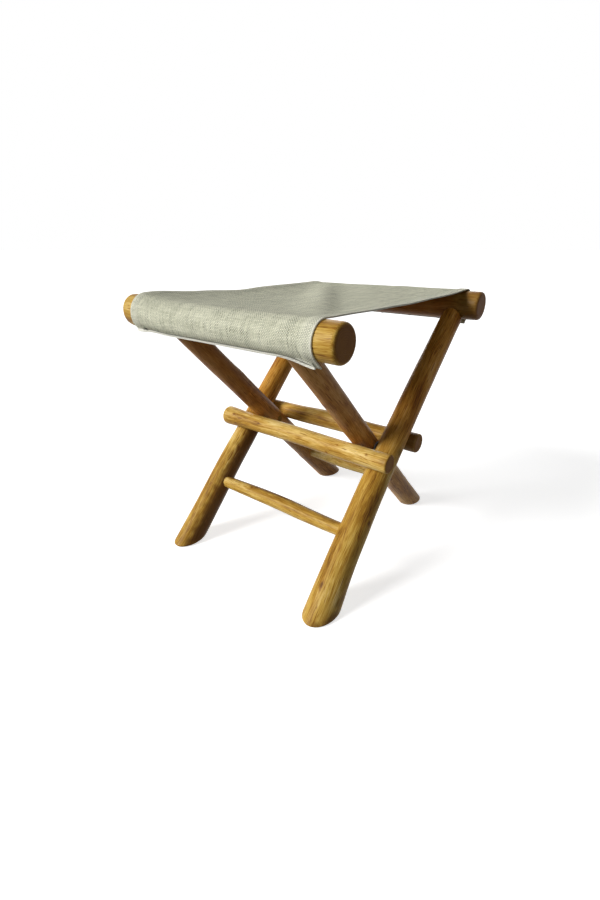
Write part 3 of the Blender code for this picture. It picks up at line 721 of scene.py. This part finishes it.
def wrap_skin(columns, rows, place):
    """A closed skin. place(angle, row) gives a point, where it lies in the grain, and its marks."""
    bm = bmesh.new()
    bmesh.ops.create_grid(bm, x_segments=columns, y_segments=len(rows) - 1, size=0.5)
    grain = bm.verts.layers.float_vector.new("grain")
    marks = bm.verts.layers.float_vector.new("marks")
    wash = bm.verts.layers.float.new("wash")
    for vert in bm.verts:
        column = round((vert.co.x + 0.5) * columns) % columns
        row = rows[round((vert.co.y + 0.5) * (len(rows) - 1))]
        vert.co, vert[grain], shown = place(math.tau * column / columns, row)
        vert[marks] = (shown.knot, shown.cut, shown.stain_and_shade)
        vert[wash] = shown.wash
    close_up(bm)
    return bm


def close_up(bm):
    """Merges what meets and turns the faces outwards."""
    bmesh.ops.remove_doubles(bm, verts=bm.verts, dist=MERGE_DISTANCE)
    bmesh.ops.recalc_face_normals(bm, faces=bm.faces)


def add_object(name, data):
    made = bpy.data.objects.new(name, data)
    bpy.context.scene.collection.objects.link(made)
    return made


def make_piece(name, bm, material):
    mesh = bpy.data.meshes.new(name)
    bm.to_mesh(mesh)
    bm.free()
    mesh.shade_smooth()
    mesh.materials.append(material)
    return add_object(name, mesh)


def stand_for(piece, node, body):
    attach(piece, body)
    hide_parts(node)


class Pole(NamedTuple):
    """A natural pole. across and rise are the directions at angle 0 and at a right angle to it."""
    start: Vector
    axis: Vector
    across: Vector
    rise: Vector
    seed: int
    knots: tuple
    stains_and_shade: tuple
    wash: ShadeWash
    calm_places: tuple

    def calm(self, along):
        """0 where the pole meets another piece, 1 well away from there."""
        away = [abs(along - place) / CALM_REACH for place in self.calm_places]
        return min([smooth((share - 0.5) * 2) for share in away] + [1.0])

    def unevenness(self, angle, along):
        """How much the natural pole swells or shrinks, as a share of its radius."""
        turn = Vector((math.cos(angle), math.sin(angle)))
        swell = 0.030 * drift(self.seed, turn.x * 0.8, turn.y * 0.8, along * 11)
        facets = 0.014 * drift(self.seed + 3, turn.x * 2.6, turn.y * 2.6, along * 16)
        chatter = 0.005 * drift(self.seed + 5, turn.x * 5, turn.y * 5, along * 60)
        return (swell + facets + chatter) * self.calm(along)

    def offset(self, mark, angle, along, radius):
        """Where a point lies from a mark: across the pole's skin, and along it."""
        return radius * math.remainder(angle - mark.angle, math.tau), along - mark.along

    def knotting(self, angle, along, radius):
        """Height of the knots, the knot mark, and how far the grain steps aside for them."""
        height = 0.0
        mark = 0.0
        aside = 0.0
        for knot in self.knots:
            lateral, run = self.offset(knot, angle, along, radius)
            away = math.hypot(lateral, run * 0.7) / knot.radius
            if away > 4:
                continue
            rim = 0.20 * math.exp(-(away / 1.7) ** 2)
            core = 0.12 * math.exp(-(away / 0.6) ** 2)
            height += knot.radius * (rim - core)
            mark = max(mark, 1.0 - away / 2.6)
            side = lateral / (abs(lateral) + 0.3 * knot.radius)
            aside += side * knot.radius * math.exp(-(away / 1.8) ** 2)
        return height, mark, aside

    # Dark blotches: the wood's own marks and painted shade alike
    def staining_and_shade(self, angle, along, radius):
        depth = 0.0
        for stain_and_shade in self.stains_and_shade:
            lateral, run = self.offset(stain_and_shade, angle, along, radius)
            run = max(0.0, abs(run) - stain_and_shade.reach)
            ragged = 1 + 0.5 * drift(self.seed + 9, lateral * 160, along * 110)
            away = math.hypot(lateral, run) / (stain_and_shade.radius * ragged)
            depth = max(depth, stain_and_shade.depth * smooth(1.4 - 1.4 * away))
        return depth

    # Painted red cast of shade along the pole
    def shade_washing(self, along):
        return self.wash.depth * smooth((along - self.wash.start) / (self.wash.full - self.wash.start))

    def point(self, angle, row, radius_at, bow_at, trim=None):
        radius = radius_at(row.along)
        height, mark, aside = self.knotting(angle, row.along, radius)
        full = radius * (1 + self.unevenness(angle, row.along)) + height
        reach = max(0.0, full - row.loss) * row.share
        side = reach * math.cos(angle)
        up = reach * math.sin(angle)
        along = row.along if trim is None else trim(row.along, up)
        sway = POLE_SWAY * self.calm(row.along)
        centre = bow_at(row.along) + Vector((
            sway * drift(self.seed + 7, along * 9), sway * drift(self.seed + 8, along * 9)))
        place = (self.start + self.axis * along + self.across * (side + centre.x)
                 + self.rise * (up + centre.y))
        turned = angle - aside / radius
        grain = Vector((reach * math.cos(turned), reach * math.sin(turned), along + 1.37 * self.seed))
        stain_and_shade = self.staining_and_shade(angle, row.along, radius)
        return place, grain, Marks(mark, row.cut, stain_and_shade, self.shade_washing(row.along) * (1 - row.cut))


def natural_pole(node, seed, start, directions, calm_places):
    return Pole(start, *directions, seed, KNOTS.get(node, ()), STAINS_AND_SHADE.get(node, ()),
                SHADE_WASHES.get(node, NO_SHADE_WASH), calm_places)


def dress_pole(node, rail_side, kind, length, place, wood):
    """The wooden skin that stands for a pole's solid."""
    skin = wrap_skin(kind.columns, pole_rows(length, kind.rounding), place)
    stand_for(make_piece(node + "_wood", skin, wood), node, BODIES[rail_side])


def dress_level_pole(node, rail_side, kind, start, length, radius_at, bow_at, wood, calm_places=()):
    """A rail, stop bar or rung, which runs along X."""
    pole = natural_pole(node, kind.seed + rail_side, start, (X_AXIS, Y_AXIS, Z_AXIS), calm_places)

    def place(angle, row):
        return pole.point(angle, row, radius_at, bow_at)

    dress_pole(node, rail_side, kind, length, place, wood)


# Rails

def covered_places(left_end):
    """Places along a rail, close enough together to keep it calm all the way under the cloth."""
    count = round((SLING_RIGHT - SLING_LEFT) / CALM_REACH)
    step = (SLING_RIGHT - SLING_LEFT) / count
    return tuple(SLING_LEFT - left_end + step * (number + 0.5) for number in range(count))


def build_rail(side, wood):
    node = RAIL_NODES[side]
    low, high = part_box(node)
    left = low.x - RAIL_OVERHANGS[side]

    def radius_at(along):
        # Under the cloth the rail stays plainly round and a little thinner
        x = left + along
        under = smooth((x - SLING_LEFT) / THINNING_RUN) * smooth((SLING_RIGHT - x) / THINNING_RUN)
        return RAIL_RADIUS * (RAIL_SKIN_SHARE - RAIL_THINNING[side] * under)

    def bow_at(along):
        return Vector((0, rail_rise(side, left + along)))

    start = Vector((left, *RAILS[side].yz))
    dress_level_pole(node, side, RAIL, start, high.x - left, radius_at, bow_at, wood, covered_places(left))


# Legs

class Leg:
    """Where a leg runs: from its sole to its rail, with the natural stray of its pole along X."""

    def __init__(self, node):
        outer = node.startswith("outer")
        near, far = ("front", "rear") if outer else ("rear", "front")
        self.node = node
        self.tag = node.split("_")[-1]
        self.frame = "outer" if outer else "inner"
        self.sizes = LEG_SIZES[node]
        self.rail_side = REAR if outer else FRONT
        self.side = SIDES[self.tag]
        self.sole = SOLES[near + "_" + self.tag + "_sole"]
        rail = RAILS[self.rail_side]
        run = Vector((0, rail.y - self.sole.y, rail.z))
        self.length = run.length
        self.lean = run.normalized()
        self.square = Vector((0, -self.rail_side * self.lean.z, abs(self.lean.y)))
        self.crossing = PIVOT.z / self.lean.z
        self.foot_x = self.sole.x + FOOT_STRAYS.get(node, 0.0)
        self.straight_x = middle(near + "_bar_dowel_" + self.tag).x
        self.peg = far + "_rail_peg_" + self.tag
        self.top_x = middle(self.peg).x

    def x_at(self, along):
        below = max(0.0, 1 - along / self.crossing)
        above = max(0.0, (along - self.crossing) / (self.length - self.crossing))
        return (self.straight_x + (self.foot_x - self.straight_x) * below ** 2
                + (self.top_x - self.straight_x) * above ** 2)

    def radius_at(self, along):
        if along < self.crossing:
            return between(self.sizes.foot, self.sizes.crossing, max(0.0, along) / self.crossing) / 2
        share = (along - self.crossing) / (self.length - self.crossing)
        return between(self.sizes.crossing, self.sizes.top, share) / 2

    def trim(self, along, up):
        """Shears the foot level with the floor and copes the top round its rail."""
        foot = 1 - smooth(along / FOOT_BLEND)
        end = self.length - RAIL_RADIUS
        cope = smooth((along - end) / COPE_BLEND + 1)
        rise = RAIL_RADIUS - math.sqrt(max(0.0, RAIL_RADIUS ** 2 - up ** 2))
        return along - foot * up * abs(self.lean.y) / self.lean.z + cope * rise


def press_saddle(point, centre, radius):
    """Moves a point that lies inside a bar along X out to the bar's surface."""
    away = Vector((0, point.y - centre.y, point.z - centre.z))
    if away.length >= radius:
        return point
    return Vector((point.x, centre.y, centre.z)) + away.normalized() * radius


def build_leg(leg, wood, seed):
    pole = natural_pole(leg.node, seed, Vector((0, leg.sole.y, 0)), (leg.lean, X_AXIS, leg.square),
                        (leg.crossing - CROSSING_CALM, leg.crossing + CROSSING_CALM, leg.length))
    bar = middle(BAR_NODES[leg.rail_side])
    bar.z += bar_rise(leg.rail_side, leg.straight_x)
    flat_side = -leg.side * leg.rail_side
    washer_low, washer_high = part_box("pivot_washer_" + leg.tag)
    flat_x = (washer_high if flat_side < 0 else washer_low).x

    def bow_at(along):
        return Vector((leg.x_at(along), 0))

    def place(angle, row):
        point, grain, marks = pole.point(angle, row, leg.radius_at, bow_at, leg.trim)
        point = press_saddle(point, bar, BAR_RADIUS + SKIN_GAP)
        point.z = max(0.0, point.z)
        near = max(abs(point.y - PIVOT.y), abs(point.z - PIVOT.z)) < CROSSING_FLAT
        if near and (point.x - flat_x) * flat_side > 0:
            point.x = flat_x
        return point, grain, marks

    dress_pole(leg.node, leg.rail_side, LEG, leg.length - RAIL_RADIUS - SKIN_GAP, place, wood)


# Stop bars and rungs

def build_bar(rail_side, legs, wood):
    node = BAR_NODES[rail_side]
    low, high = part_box(node)
    length = high.x - low.x
    start = Vector((low.x, middle(node).y, low.z + BAR_RADIUS))
    touching = tuple(leg.straight_x - low.x for leg in legs)
    free = min(abs(leg.straight_x) - leg.sizes.crossing / 2 for leg in legs)

    def radius_at(along):
        swell = sum(burl.swelling(low.x + along) for burl in BAR_BURLS[rail_side])
        return BAR_RADIUS * BAR_SKIN_SHARE + swell

    def bow_at(along):
        arch = BAR_BOW * smooth(1 - abs(along - length / 2) / free)
        return Vector((0, arch + bar_rise(rail_side, low.x + along)))

    dress_level_pole(node, rail_side, BAR, start, length, radius_at, bow_at, wood, touching)


def build_rung(rail_side, legs, wood):
    node = RUNG_NODES[rail_side]
    low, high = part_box(node)
    own = [leg for leg in legs if leg.rail_side == rail_side]
    along_leg = (low.z + RUNG_DIAMETERS[0] / 2) / own[0].lean.z
    left, right = [leg.x_at(along_leg) - leg.side * (leg.radius_at(along_leg) - RUNG_TENON) for leg in own]
    length = right - left
    start = Vector((left, middle(node).y, (low.z + high.z - RUNG_BOW) / 2))

    def radius_at(along):
        inset = min(along, length - along) - RUNG_TENON
        swell = 1 - (1 - clamp(inset / (length / 2 - RUNG_TENON))) ** 2
        return between(*RUNG_DIAMETERS, swell) / 2 + RUNG_BURLS[rail_side].swelling(left + along)

    def bow_at(along):
        share = clamp((along - RUNG_TENON) / (length - 2 * RUNG_TENON))
        return Vector((0, RUNG_BOW * math.sin(math.pi * share) ** 2))

    dress_level_pole(node, rail_side, RUNG, start, length, radius_at, bow_at, wood)


# Plugs and pegs, dressed flush with the pole that they close

def build_flush_plug(node, body, centre, out, run, pole_radius, radius, wood, seed):
    """A turned plug with a faint crown. out points off the pole's axis, run along it."""
    over = out.cross(run)
    rows = [Row(0.0, 0.0, share, PLUG_CUT) for share in PLUG_SHARES]
    rows += [Row(0.15 * PLUG_DEPTH, 0.0, 1.0, PLUG_CUT), Row(PLUG_DEPTH, 0.0, 1.0, 0.0),
             Row(PLUG_DEPTH, 0.0, 0.0, 0.0)]

    def place(angle, row):
        along = radius * row.share * math.cos(angle)
        aside = radius * row.share * math.sin(angle)
        height = math.sqrt(pole_radius ** 2 - aside ** 2) + PLUG_CROWN * (1 - row.share ** 2) - row.along
        grain = Vector((along, aside, seed + row.along))
        return centre + out * height + run * along + over * aside, grain, Marks(0.0, row.cut)

    piece = make_piece(node + "_cap", wrap_skin(PLUG_COLUMNS, rows, place), wood)
    stand_for(piece, node, body)


def build_plugs(legs, wood):
    for number, leg in enumerate(legs):
        body = BODIES[leg.rail_side]
        axis = Vector((leg.x_at(leg.crossing), PIVOT.y, PIVOT.z))
        out = Vector((leg.side * leg.rail_side, 0, 0))
        plug = leg.frame + "_plug_" + leg.tag
        build_flush_plug(plug, body, axis, out, leg.lean, leg.radius_at(leg.crossing), size(plug).z / 2,
                         wood, PLUG_SEED + number)
        seat = Vector((leg.top_x, *RAILS[leg.rail_side].yz))
        build_flush_plug(leg.peg, body, seat, leg.square, X_AXIS, RAIL_RADIUS * PEG_SEAT_SHARE,
                         size(leg.peg).x / 2, wood, PEG_SEED + number)


# Sling

class Sling:
    """The cloth's surface: where it lies at a place along X and a length along its path."""

    def __init__(self):
        # Half the width over which the tacks hold the cloth under each rail
        self.reach = {side: max(abs(middle(node).x) for node in nodes) for side, nodes in TACK_NODES.items()}
        self.length = 2 * HALF_RAILS + 2 * FLAP_LENGTH

    def cling(self, x, rail_side):
        """How far round the rail, from its top, the cloth clings at a place along X."""
        side = RIGHT if x > 0 else LEFT
        edge = SLING_RIGHT if x > 0 else -SLING_LEFT
        loose = smooth((abs(x) - self.reach[rail_side]) / (edge - self.reach[rail_side]))
        return between(WRAP_ANGLE, CORNER_ANGLES[(rail_side, side)], loose)

    def dip(self, x, y):
        """How far the seat hangs below its rails: two hollows beside a tight line from corner to corner."""
        start = Vector((SLING_LEFT + FOLD_START, HALF_RAILS))
        stop = Vector((SLING_RIGHT + FOLD_STOP, -HALF_RAILS))
        aside = (Vector((x, y)) - start).cross((stop - start).normalized())
        near = math.hypot(y + HALF_RAILS, RAIL_EASE) - RAIL_EASE
        far = math.hypot(HALF_RAILS - y, RAIL_EASE) - RAIL_EASE
        if aside > 0:
            hollow = NEAR_DIP * (1 - math.exp(-(aside / NEAR_DIP_WIDTH) ** 2))
            hollow *= rising(near, NEAR_DIP_RISE) * rising(far, RAIL_HOLD)
            hollow *= rising(x - SLING_LEFT, NEAR_DIP_HOLD)
        else:
            hollow = FAR_DIP * (1 - math.exp(-(aside / FAR_DIP_WIDTH) ** 2))
            hollow *= 1 - FAR_SLOPE_SHARE * smooth((-aside - FAR_DIP_WIDTH) / FAR_SLOPE_RUN)
            hollow *= rising(far, FAR_DIP_RISE) * rising(near, RAIL_HOLD)
            hollow *= rising(SLING_RIGHT - x, FAR_DIP_HOLD)
        share = (y + HALF_RAILS) / (2 * HALF_RAILS)
        reach = (x - SLING_LEFT) / (SLING_RIGHT - SLING_LEFT)
        sag = between(SAG_LEFT, SAG_RIGHT, reach)
        away = math.hypot((y - EDGE_SLACK_PLACE) / EDGE_SLACK_RUN, (x - SLING_LEFT) / EDGE_SLACK_REACH)
        return 4 * sag * share * (1 - share) + EDGE_SLACK * math.exp(-away * away) + hollow

    def flap(self, x, rail_side, length, radius, cling):
        """Place and outward normal of cloth on a rail, a length away from the rail's top."""
        turn = min(length / radius, cling)
        hang = length - radius * turn
        out = radius * math.sin(turn) + hang * math.cos(turn)
        up = radius * math.cos(turn) - hang * math.sin(turn)
        normal = Vector((0, rail_side * math.sin(turn), math.cos(turn)))
        place = Vector((x, rail_side * (HALF_RAILS + out), RAIL_HEIGHT + up + rail_rise(rail_side, x)))
        inset = min(x - SLING_LEFT, SLING_RIGHT - x) - TUCK_INSET
        tuck = UNDER_TUCKS[rail_side] * smooth((turn - TUCK_TURN) / TUCK_TURN_RUN) * smooth(inset / TUCK_RUN)
        return place - normal * tuck, normal

    def seat(self, x, y):
        step = SLOPE_STEP
        share = (y + HALF_RAILS) / (2 * HALF_RAILS)
        rise = between(rail_rise(FRONT, x), rail_rise(REAR, x), share)
        level = RAIL_HEIGHT + CLOTH_RADIUS + rise - self.dip(x, y)
        slope_x = (self.dip(x + step, y) - self.dip(x - step, y)) / (2 * step)
        slope_y = (self.dip(x, y + step) - self.dip(x, y - step)) / (2 * step)
        return Vector((x, y, level)), Vector((slope_x, slope_y, 1)).normalized()

    def puff(self, x, path):
        """The cloth stands off the front rail's left end and the top of the rear rail."""
        near = math.hypot(x - SLING_LEFT, path - FLAP_LENGTH - PUFF_INSET) / PUFF_REACH
        far = (path - FLAP_LENGTH - 2 * HALF_RAILS) / PUFF_REACH
        return (PUFF_HEIGHT * math.exp(-near * near)
                + REAR_PUFF * math.exp(-far * far) * smooth((x - REAR_PUFF_START) / REAR_PUFF_RUN))

    def creases(self, x, path):
        """Faint slack in the cloth, none at its two hems."""
        free = smooth(min(path, self.length - path) / CREASE_HOLD)
        slack = drift(61, x * 14 + path * 9, path * 5) + 0.5 * drift(62, x * 30 - path * 22, path * 10)
        return CREASE_HEIGHT * slack * free

    def stand_off(self, x, path):
        return self.puff(x, path) + self.creases(x, path)

    def point(self, x, path, lift=0.0):
        """path runs from the front hem to the rear hem; lift is the height above the cloth's middle."""
        if path < FLAP_LENGTH:
            place, normal = self.flap(x, FRONT, FLAP_LENGTH - path, CLOTH_RADIUS, self.cling(x, FRONT))
        elif path > FLAP_LENGTH + 2 * HALF_RAILS:
            length = path - FLAP_LENGTH - 2 * HALF_RAILS
            place, normal = self.flap(x, REAR, length, CLOTH_RADIUS, self.cling(x, REAR))
        else:
            place, normal = self.seat(x, path - FLAP_LENGTH - HALF_RAILS)
        return place + normal * (self.stand_off(x, path) + lift)

    def hem_point(self, x, rail_side, back, lift):
        """A point of the outer hem strip, a length back from its lower edge, and its path."""
        droop = smooth((x - DROOP_START) / DROOP_RUN) if rail_side == FRONT else 0.0
        tab = smooth((SLING_LEFT + TAB_RUN - x) / TAB_RUN) if rail_side == FRONT else 0.0
        cling = min(HEM_ANGLE, self.cling(x, rail_side))
        cling = between(between(cling, DROOP_ANGLE, droop), TAB_ANGLE, tab)
        length = HEM_RADIUS * HEM_ANGLE + DROOP_LENGTH * droop + TAB_LENGTH * tab - back
        place, normal = self.flap(x, rail_side, length, HEM_RADIUS, cling)
        path = FLAP_LENGTH - length if rail_side == FRONT else FLAP_LENGTH + 2 * HALF_RAILS + length
        return place + normal * (self.stand_off(x, path) + lift), path


class Column(NamedTuple):
    """One column of the cloth: its place along X, its height above the under layer, its place across the
    cut cloth and how pale its turned edge is."""
    x: float
    lift: float
    across: float
    pale: float


def sling_columns():
    """From the raw edge under the left hem, round the left edge, over the seat and under the right hem."""
    turn = LAYER_HEIGHT / 2
    half = []
    for step in range(SIDE_HEM_STEPS):
        half.append((between(SIDE_HEM, turn, step / SIDE_HEM_STEPS), 0.0))
    for step in range(EDGE_STEPS + 1):
        angle = math.pi * step / EDGE_STEPS
        half.append((turn - turn * math.sin(angle), turn * (1 - math.cos(angle))))
    width = SLING_RIGHT - SLING_LEFT
    count = round(width / CLOTH_STEP)
    spans = []
    for step in range(1, count):
        inset = turn + (width - 2 * turn) * step / count
        near = min(inset, width - inset)
        spans.append((inset, LAYER_HEIGHT * (1 - smooth((near - SIDE_HEM) / HEM_RAMP))))
    path = half + spans + [(width - inset, lift) for inset, lift in reversed(half)]
    columns = []
    across = 0.0
    for number, (inset, lift) in enumerate(path):
        if number:
            across += math.hypot(inset - path[number - 1][0], lift - path[number - 1][1])
        at_edge = min(inset, width - inset) < 1.5 * turn
        pale = EDGE_PALE if at_edge else HEM_PALE * lift / LAYER_HEIGHT
        columns.append(Column(SLING_LEFT + inset, lift, across, pale))
    return columns


def cloth_grid(columns, rows):
    """A flat grid, and its layer for how pale the cloth is and how much painted shade it takes."""
    bm = bmesh.new()
    bmesh.ops.create_grid(bm, x_segments=columns, y_segments=rows, size=0.5)
    return bm, bm.verts.layers.float_vector.new("trim")


def map_cloth(bm, spots):
    """Lays the cloth's map from each vertex's place across and along the cut cloth."""
    cloth_map = bm.loops.layers.uv.new("cloth")
    for face in bm.faces:
        for loop in face.loops:
            loop[cloth_map].uv = spots[loop.vert]


def build_sling(sling, linen):
    columns = sling_columns()
    count = round(sling.length / CLOTH_STEP)
    bm, trim = cloth_grid(len(columns) - 1, count)
    spots = {}
    for vert in bm.verts:
        column = columns[round((vert.co.x + 0.5) * (len(columns) - 1))]
        path = sling.length * round((vert.co.y + 0.5) * count) / count
        vert.co = sling.point(column.x, path, column.lift)
        vert[trim] = (column.pale, 0.0, 0.0)
        spots[vert] = (column.across, path)
    map_cloth(bm, spots)
    bmesh.ops.recalc_face_normals(bm, faces=bm.faces)
    piece = make_piece("linen_sling", bm, linen)
    shell = piece.modifiers.new("thickness", "SOLIDIFY")
    shell.thickness = CLOTH_THICKNESS
    shell.offset = 0.0
    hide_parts("seat_sling")
    flat = (columns[-1].across, sling.length)
    return piece, flat


class HemSpot(NamedTuple):
    """A point of the hem strip's outline: back from its edge, its lift, how pale it is, and how much painted shade
    it takes.
    """
    back: float
    lift: float
    pale: float = 0.0
    groove_shade: float = 0.0


def hem_outline():
    """Down the outside of the strip, round its beaded edge and up its inside."""
    half = CLOTH_THICKNESS / 2
    outline = [HemSpot(0.030, -2.4 * half), HemSpot(0.022, -0.8 * half)]
    outline += [HemSpot(back, half) for back in (0.014, 0.0105, 0.0091, HAIRPIN_BACK, 0.0069, 0.0052)]
    # The fourth value of these spots paints a shade line just above the bead
    outline += [HemSpot(0.0040, half, 0.0, 0.6), HemSpot(0.0029, 0.5 * half, 0.0, 1.0),
                HemSpot(0.0020, 0.9 * half, 0.5, 0.6)]
    for step in range(HEM_BEAD_STEPS + 1):
        turn = math.pi * step / HEM_BEAD_STEPS
        back = HEM_BEAD_BACK - HEM_BEAD * math.sin(turn)
        outline.append(HemSpot(back, HEM_LIP + HEM_BEAD * math.cos(turn), 1.0))
    outline += [HemSpot(back, -0.4 * half) for back in (0.004, 0.012, 0.022)]
    return outline


def hem_finish(spot, x):
    """The front hem's pale tab and a painted shadow of the gap behind it at its left end, and its hairpin turn at
    its right end.
    """
    inset = x - SLING_LEFT
    if spot.lift <= 0 or spot.back > 2 * HAIRPIN_BACK:
        return spot
    on_tab = smooth((TAB_STOP - inset) / TAB_STOP_RUN) * smooth((TAB_BACK - spot.back) / TAB_BACK_RUN)
    # A dark spot painted for the shadowed gap between the tab and the cloth
    away = math.hypot((inset - HOLE_SHADE_PLACE) / HOLE_SHADE_REACH, (spot.back - HOLE_SHADE_BACK) / HOLE_SHADE_HEIGHT)
    hole_shade = smooth(1.8 - 1.2 * away)
    turn = clamp((x - HAIRPIN_START) / (HEM_STOP - HAIRPIN_START))
    on_turn = smooth(turn * 5) * math.exp(-((spot.back - HAIRPIN_BACK) / HAIRPIN_WIDTH) ** 2)
    pale = max(spot.pale * (1 - hole_shade), on_tab, on_turn)
    groove_shade = max(hole_shade, spot.groove_shade * (1 - pale))
    # The strip's rows draw together where the line of the turn runs down to the tip
    back = spot.back
    if back >= HAIRPIN_EDGE:
        back = HAIRPIN_EDGE + (back - HAIRPIN_EDGE) * math.sqrt(1 - HAIRPIN_NARROWING * turn ** 4)
    return HemSpot(back, spot.lift + HAIRPIN_LIFT * on_turn, pale, groove_shade)


def build_hem(sling, rail_side, linen):
    """The outer hem of a flap, with its pale turned edge."""
    outline = hem_outline()
    front = rail_side == FRONT
    start = SLING_LEFT + (TAB_START if front else REAR_HEM_START)
    stop = HEM_STOP if front else SLING_RIGHT - REAR_HEM_STOP
    bm, trim = cloth_grid(round((stop - start) / HEM_STEP), len(outline))
    spots = {}
    for vert in bm.verts:
        x = start + (stop - start) * (vert.co.x + 0.5)
        spot = outline[round((vert.co.y + 0.5) * len(outline)) % len(outline)]
        if front:
            spot = hem_finish(spot, x)
        wave = HEM_WAVE * drift(73 + rail_side, x * 45)
        vert.co, path = sling.hem_point(x, rail_side, spot.back + wave, spot.lift)
        vert[trim] = (spot.pale, spot.groove_shade, 0.0)
        spots[vert] = (x - SLING_LEFT + SIDE_HEM, path)
    map_cloth(bm, spots)
    bmesh.ops.remove_doubles(bm, verts=bm.verts, dist=MERGE_DISTANCE)
    bmesh.ops.holes_fill(bm, edges=[edge for edge in bm.edges if edge.is_boundary])
    bmesh.ops.recalc_face_normals(bm, faces=bm.faces)
    piece = make_piece("front_hem" if front else "rear_hem", bm, linen)
    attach(piece, BODIES[rail_side])
    return piece


def build_stitches(sling, tape):
    """The sewn lines that hold the two side hems."""
    bm = bmesh.new()
    count = round(sling.length / STITCH_STEP)
    for x in (SLING_LEFT + STITCH_INSET, SLING_RIGHT - STITCH_INSET):
        for number in range(1, count):
            path = sling.length * number / count
            before = sling.point(x, path - STITCH_LENGTH / 2, STITCH_LIFT)
            after = sling.point(x, path + STITCH_LENGTH / 2, STITCH_LIFT)
            run = after - before
            turn = run.to_track_quat("Y", "Z").to_matrix().to_4x4()
            scale = Matrix.Diagonal((STITCH_WIDTH / 2, run.length / 2, STITCH_WIDTH / 2.5, 1.0))
            bmesh.ops.create_icosphere(bm, subdivisions=1, radius=1.0,
                                       matrix=Matrix.Translation((before + after) / 2) @ turn @ scale)
    piece = make_piece("side_hem_stitches", bm, tape)
    return piece


def dress_seat(linen, tape):
    sling = Sling()
    cloth, flat = build_sling(sling, linen)
    stitches = build_stitches(sling, tape)
    for piece in (cloth, stitches):
        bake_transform(piece)
    hems = [build_hem(sling, side, linen) for side in (FRONT, REAR)]


# Tacks

def domed_head():
    """A tack's head, turned about Z, with its flat side down."""
    bm = bmesh.new()
    profile = []
    for step in range(TACK_DOME_STEPS + 1):
        turn = math.pi / 2 * step / TACK_DOME_STEPS
        profile.append((TACK_HEAD_RADIUS * math.sin(turn), 0, TACK_HEAD_HEIGHT * math.cos(turn)))
    profile += [(TACK_HEAD_RADIUS * TACK_RIM_SHARE, 0, -TACK_RIM_DEPTH), (0, 0, -TACK_RIM_DEPTH)]
    verts = [bm.verts.new(point) for point in profile]
    edges = [bm.edges.new(pair) for pair in zip(verts, verts[1:])]
    bmesh.ops.spin(bm, geom=verts + edges, axis=(0, 0, 1), cent=(0, 0, 0), angle=math.tau,
                   steps=TACK_ROUND_STEPS, use_merge=True)
    close_up(bm)
    return bm


def build_tacks(steel):
    """Domed tack heads on the cloth under the rails."""
    for rail_side, nodes in TACK_NODES.items():
        cover = CLOTH_RADIUS + CLOTH_THICKNESS / 2 - UNDER_TUCKS[rail_side]
        for node in nodes:
            head = middle(node)
            rail = RAILS[rail_side] + X_AXIS * head.x
            down = (head - rail).normalized()
            turn = down.to_track_quat("Z", "Y").to_matrix().to_4x4()
            bm = domed_head()
            bmesh.ops.transform(bm, matrix=Matrix.Translation(rail + down * cover) @ turn, verts=bm.verts)
            stand_for(make_piece(node + "_head", bm, steel), node, BODIES[rail_side])


# Stage

def grey(level):
    return (level, level, level, 1.0)


def build_stage():
    """A floor and a backdrop that look white and give little light."""
    bm = bmesh.new()
    bmesh.ops.create_grid(bm, x_segments=1, y_segments=1, size=FLOOR_SIZE)
    finish = Finish("pale_floor", Roughness=1.0, Specular_IOR_Level=0.0, Emission_Strength=1.0)
    seen = finish.seen()
    finish.shade(Base_Color=finish.mix(seen, grey(FLOOR_AS_LIGHT), grey(FLOOR_AS_SEEN)),
                 Emission_Color=finish.mix(seen, grey(0.0), grey(FLOOR_GLOW)))
    make_piece("floor", bm, finish.material)

    world = bpy.data.worlds.new("studio")
    bpy.context.scene.world = world
    world.use_nodes = True
    backdrop = Shading(world.node_tree, "Background")
    backdrop.shade(Color=grey(1.0), Strength=backdrop.seen() * (1 - WORLD_LIGHT) + WORLD_LIGHT)


def add_lamp(name, angles, strength):
    """A broad, even light."""
    heading, height, spread = [math.radians(angle) for angle in angles]
    light = bpy.data.lights.new(name, "SUN")
    light.energy = strength
    light.angle = spread
    level = math.cos(height)
    towards = Vector((math.sin(heading) * level, -math.cos(heading) * level, math.sin(height)))
    add_object(name, light).rotation_euler = towards.to_track_quat("Z", "Y").to_euler()


def add_camera():
    camera = bpy.data.cameras.new("camera")
    camera.lens = CAMERA_LENS
    camera.sensor_width = CAMERA_SENSOR
    camera.clip_start = CAMERA_NEAR
    holder = add_object("camera", camera)
    holder.location = CAMERA_PLACE
    holder.rotation_euler = (math.pi / 2 - CAMERA_DIP, 0.0, CAMERA_HEADING)
    bpy.context.scene.camera = holder


def main():
    bpy.context.scene.view_settings.view_transform = "Standard"
    wood, shaded_red_wood, pale_wood, plug_wood = [varnished_wood(name, *tones) for name, tones in WOODS.items()]
    linen = plain_weave("linen")
    tape = twill_tape("hem_tape")
    steel = plated_steel("steel")

    legs = [Leg(node) for node in LEG_SIZES]
    for side in (FRONT, REAR):
        build_rail(side, wood)
    for number, leg in enumerate(legs):
        # The inner legs take the darker, redder copy of the wood: painted shade
        build_leg(leg, wood if leg.rail_side == REAR else shaded_red_wood, LEG.seed + number)
    for side in (REAR, FRONT):
        build_bar(side, legs, pale_wood)
        build_rung(side, legs, wood if side == REAR else pale_wood)
    build_plugs(legs, plug_wood)
    dress_seat(linen, tape)
    build_tacks(steel)
    for name, node in frame["nodes"].items():
        finish = steel if name.startswith("pivot") else plug_wood
        for slot in node.material_slots:
            slot.material = finish

    build_stage()
    for name, lamp in LAMPS.items():
        add_lamp(name, *lamp)
    add_camera()


main()
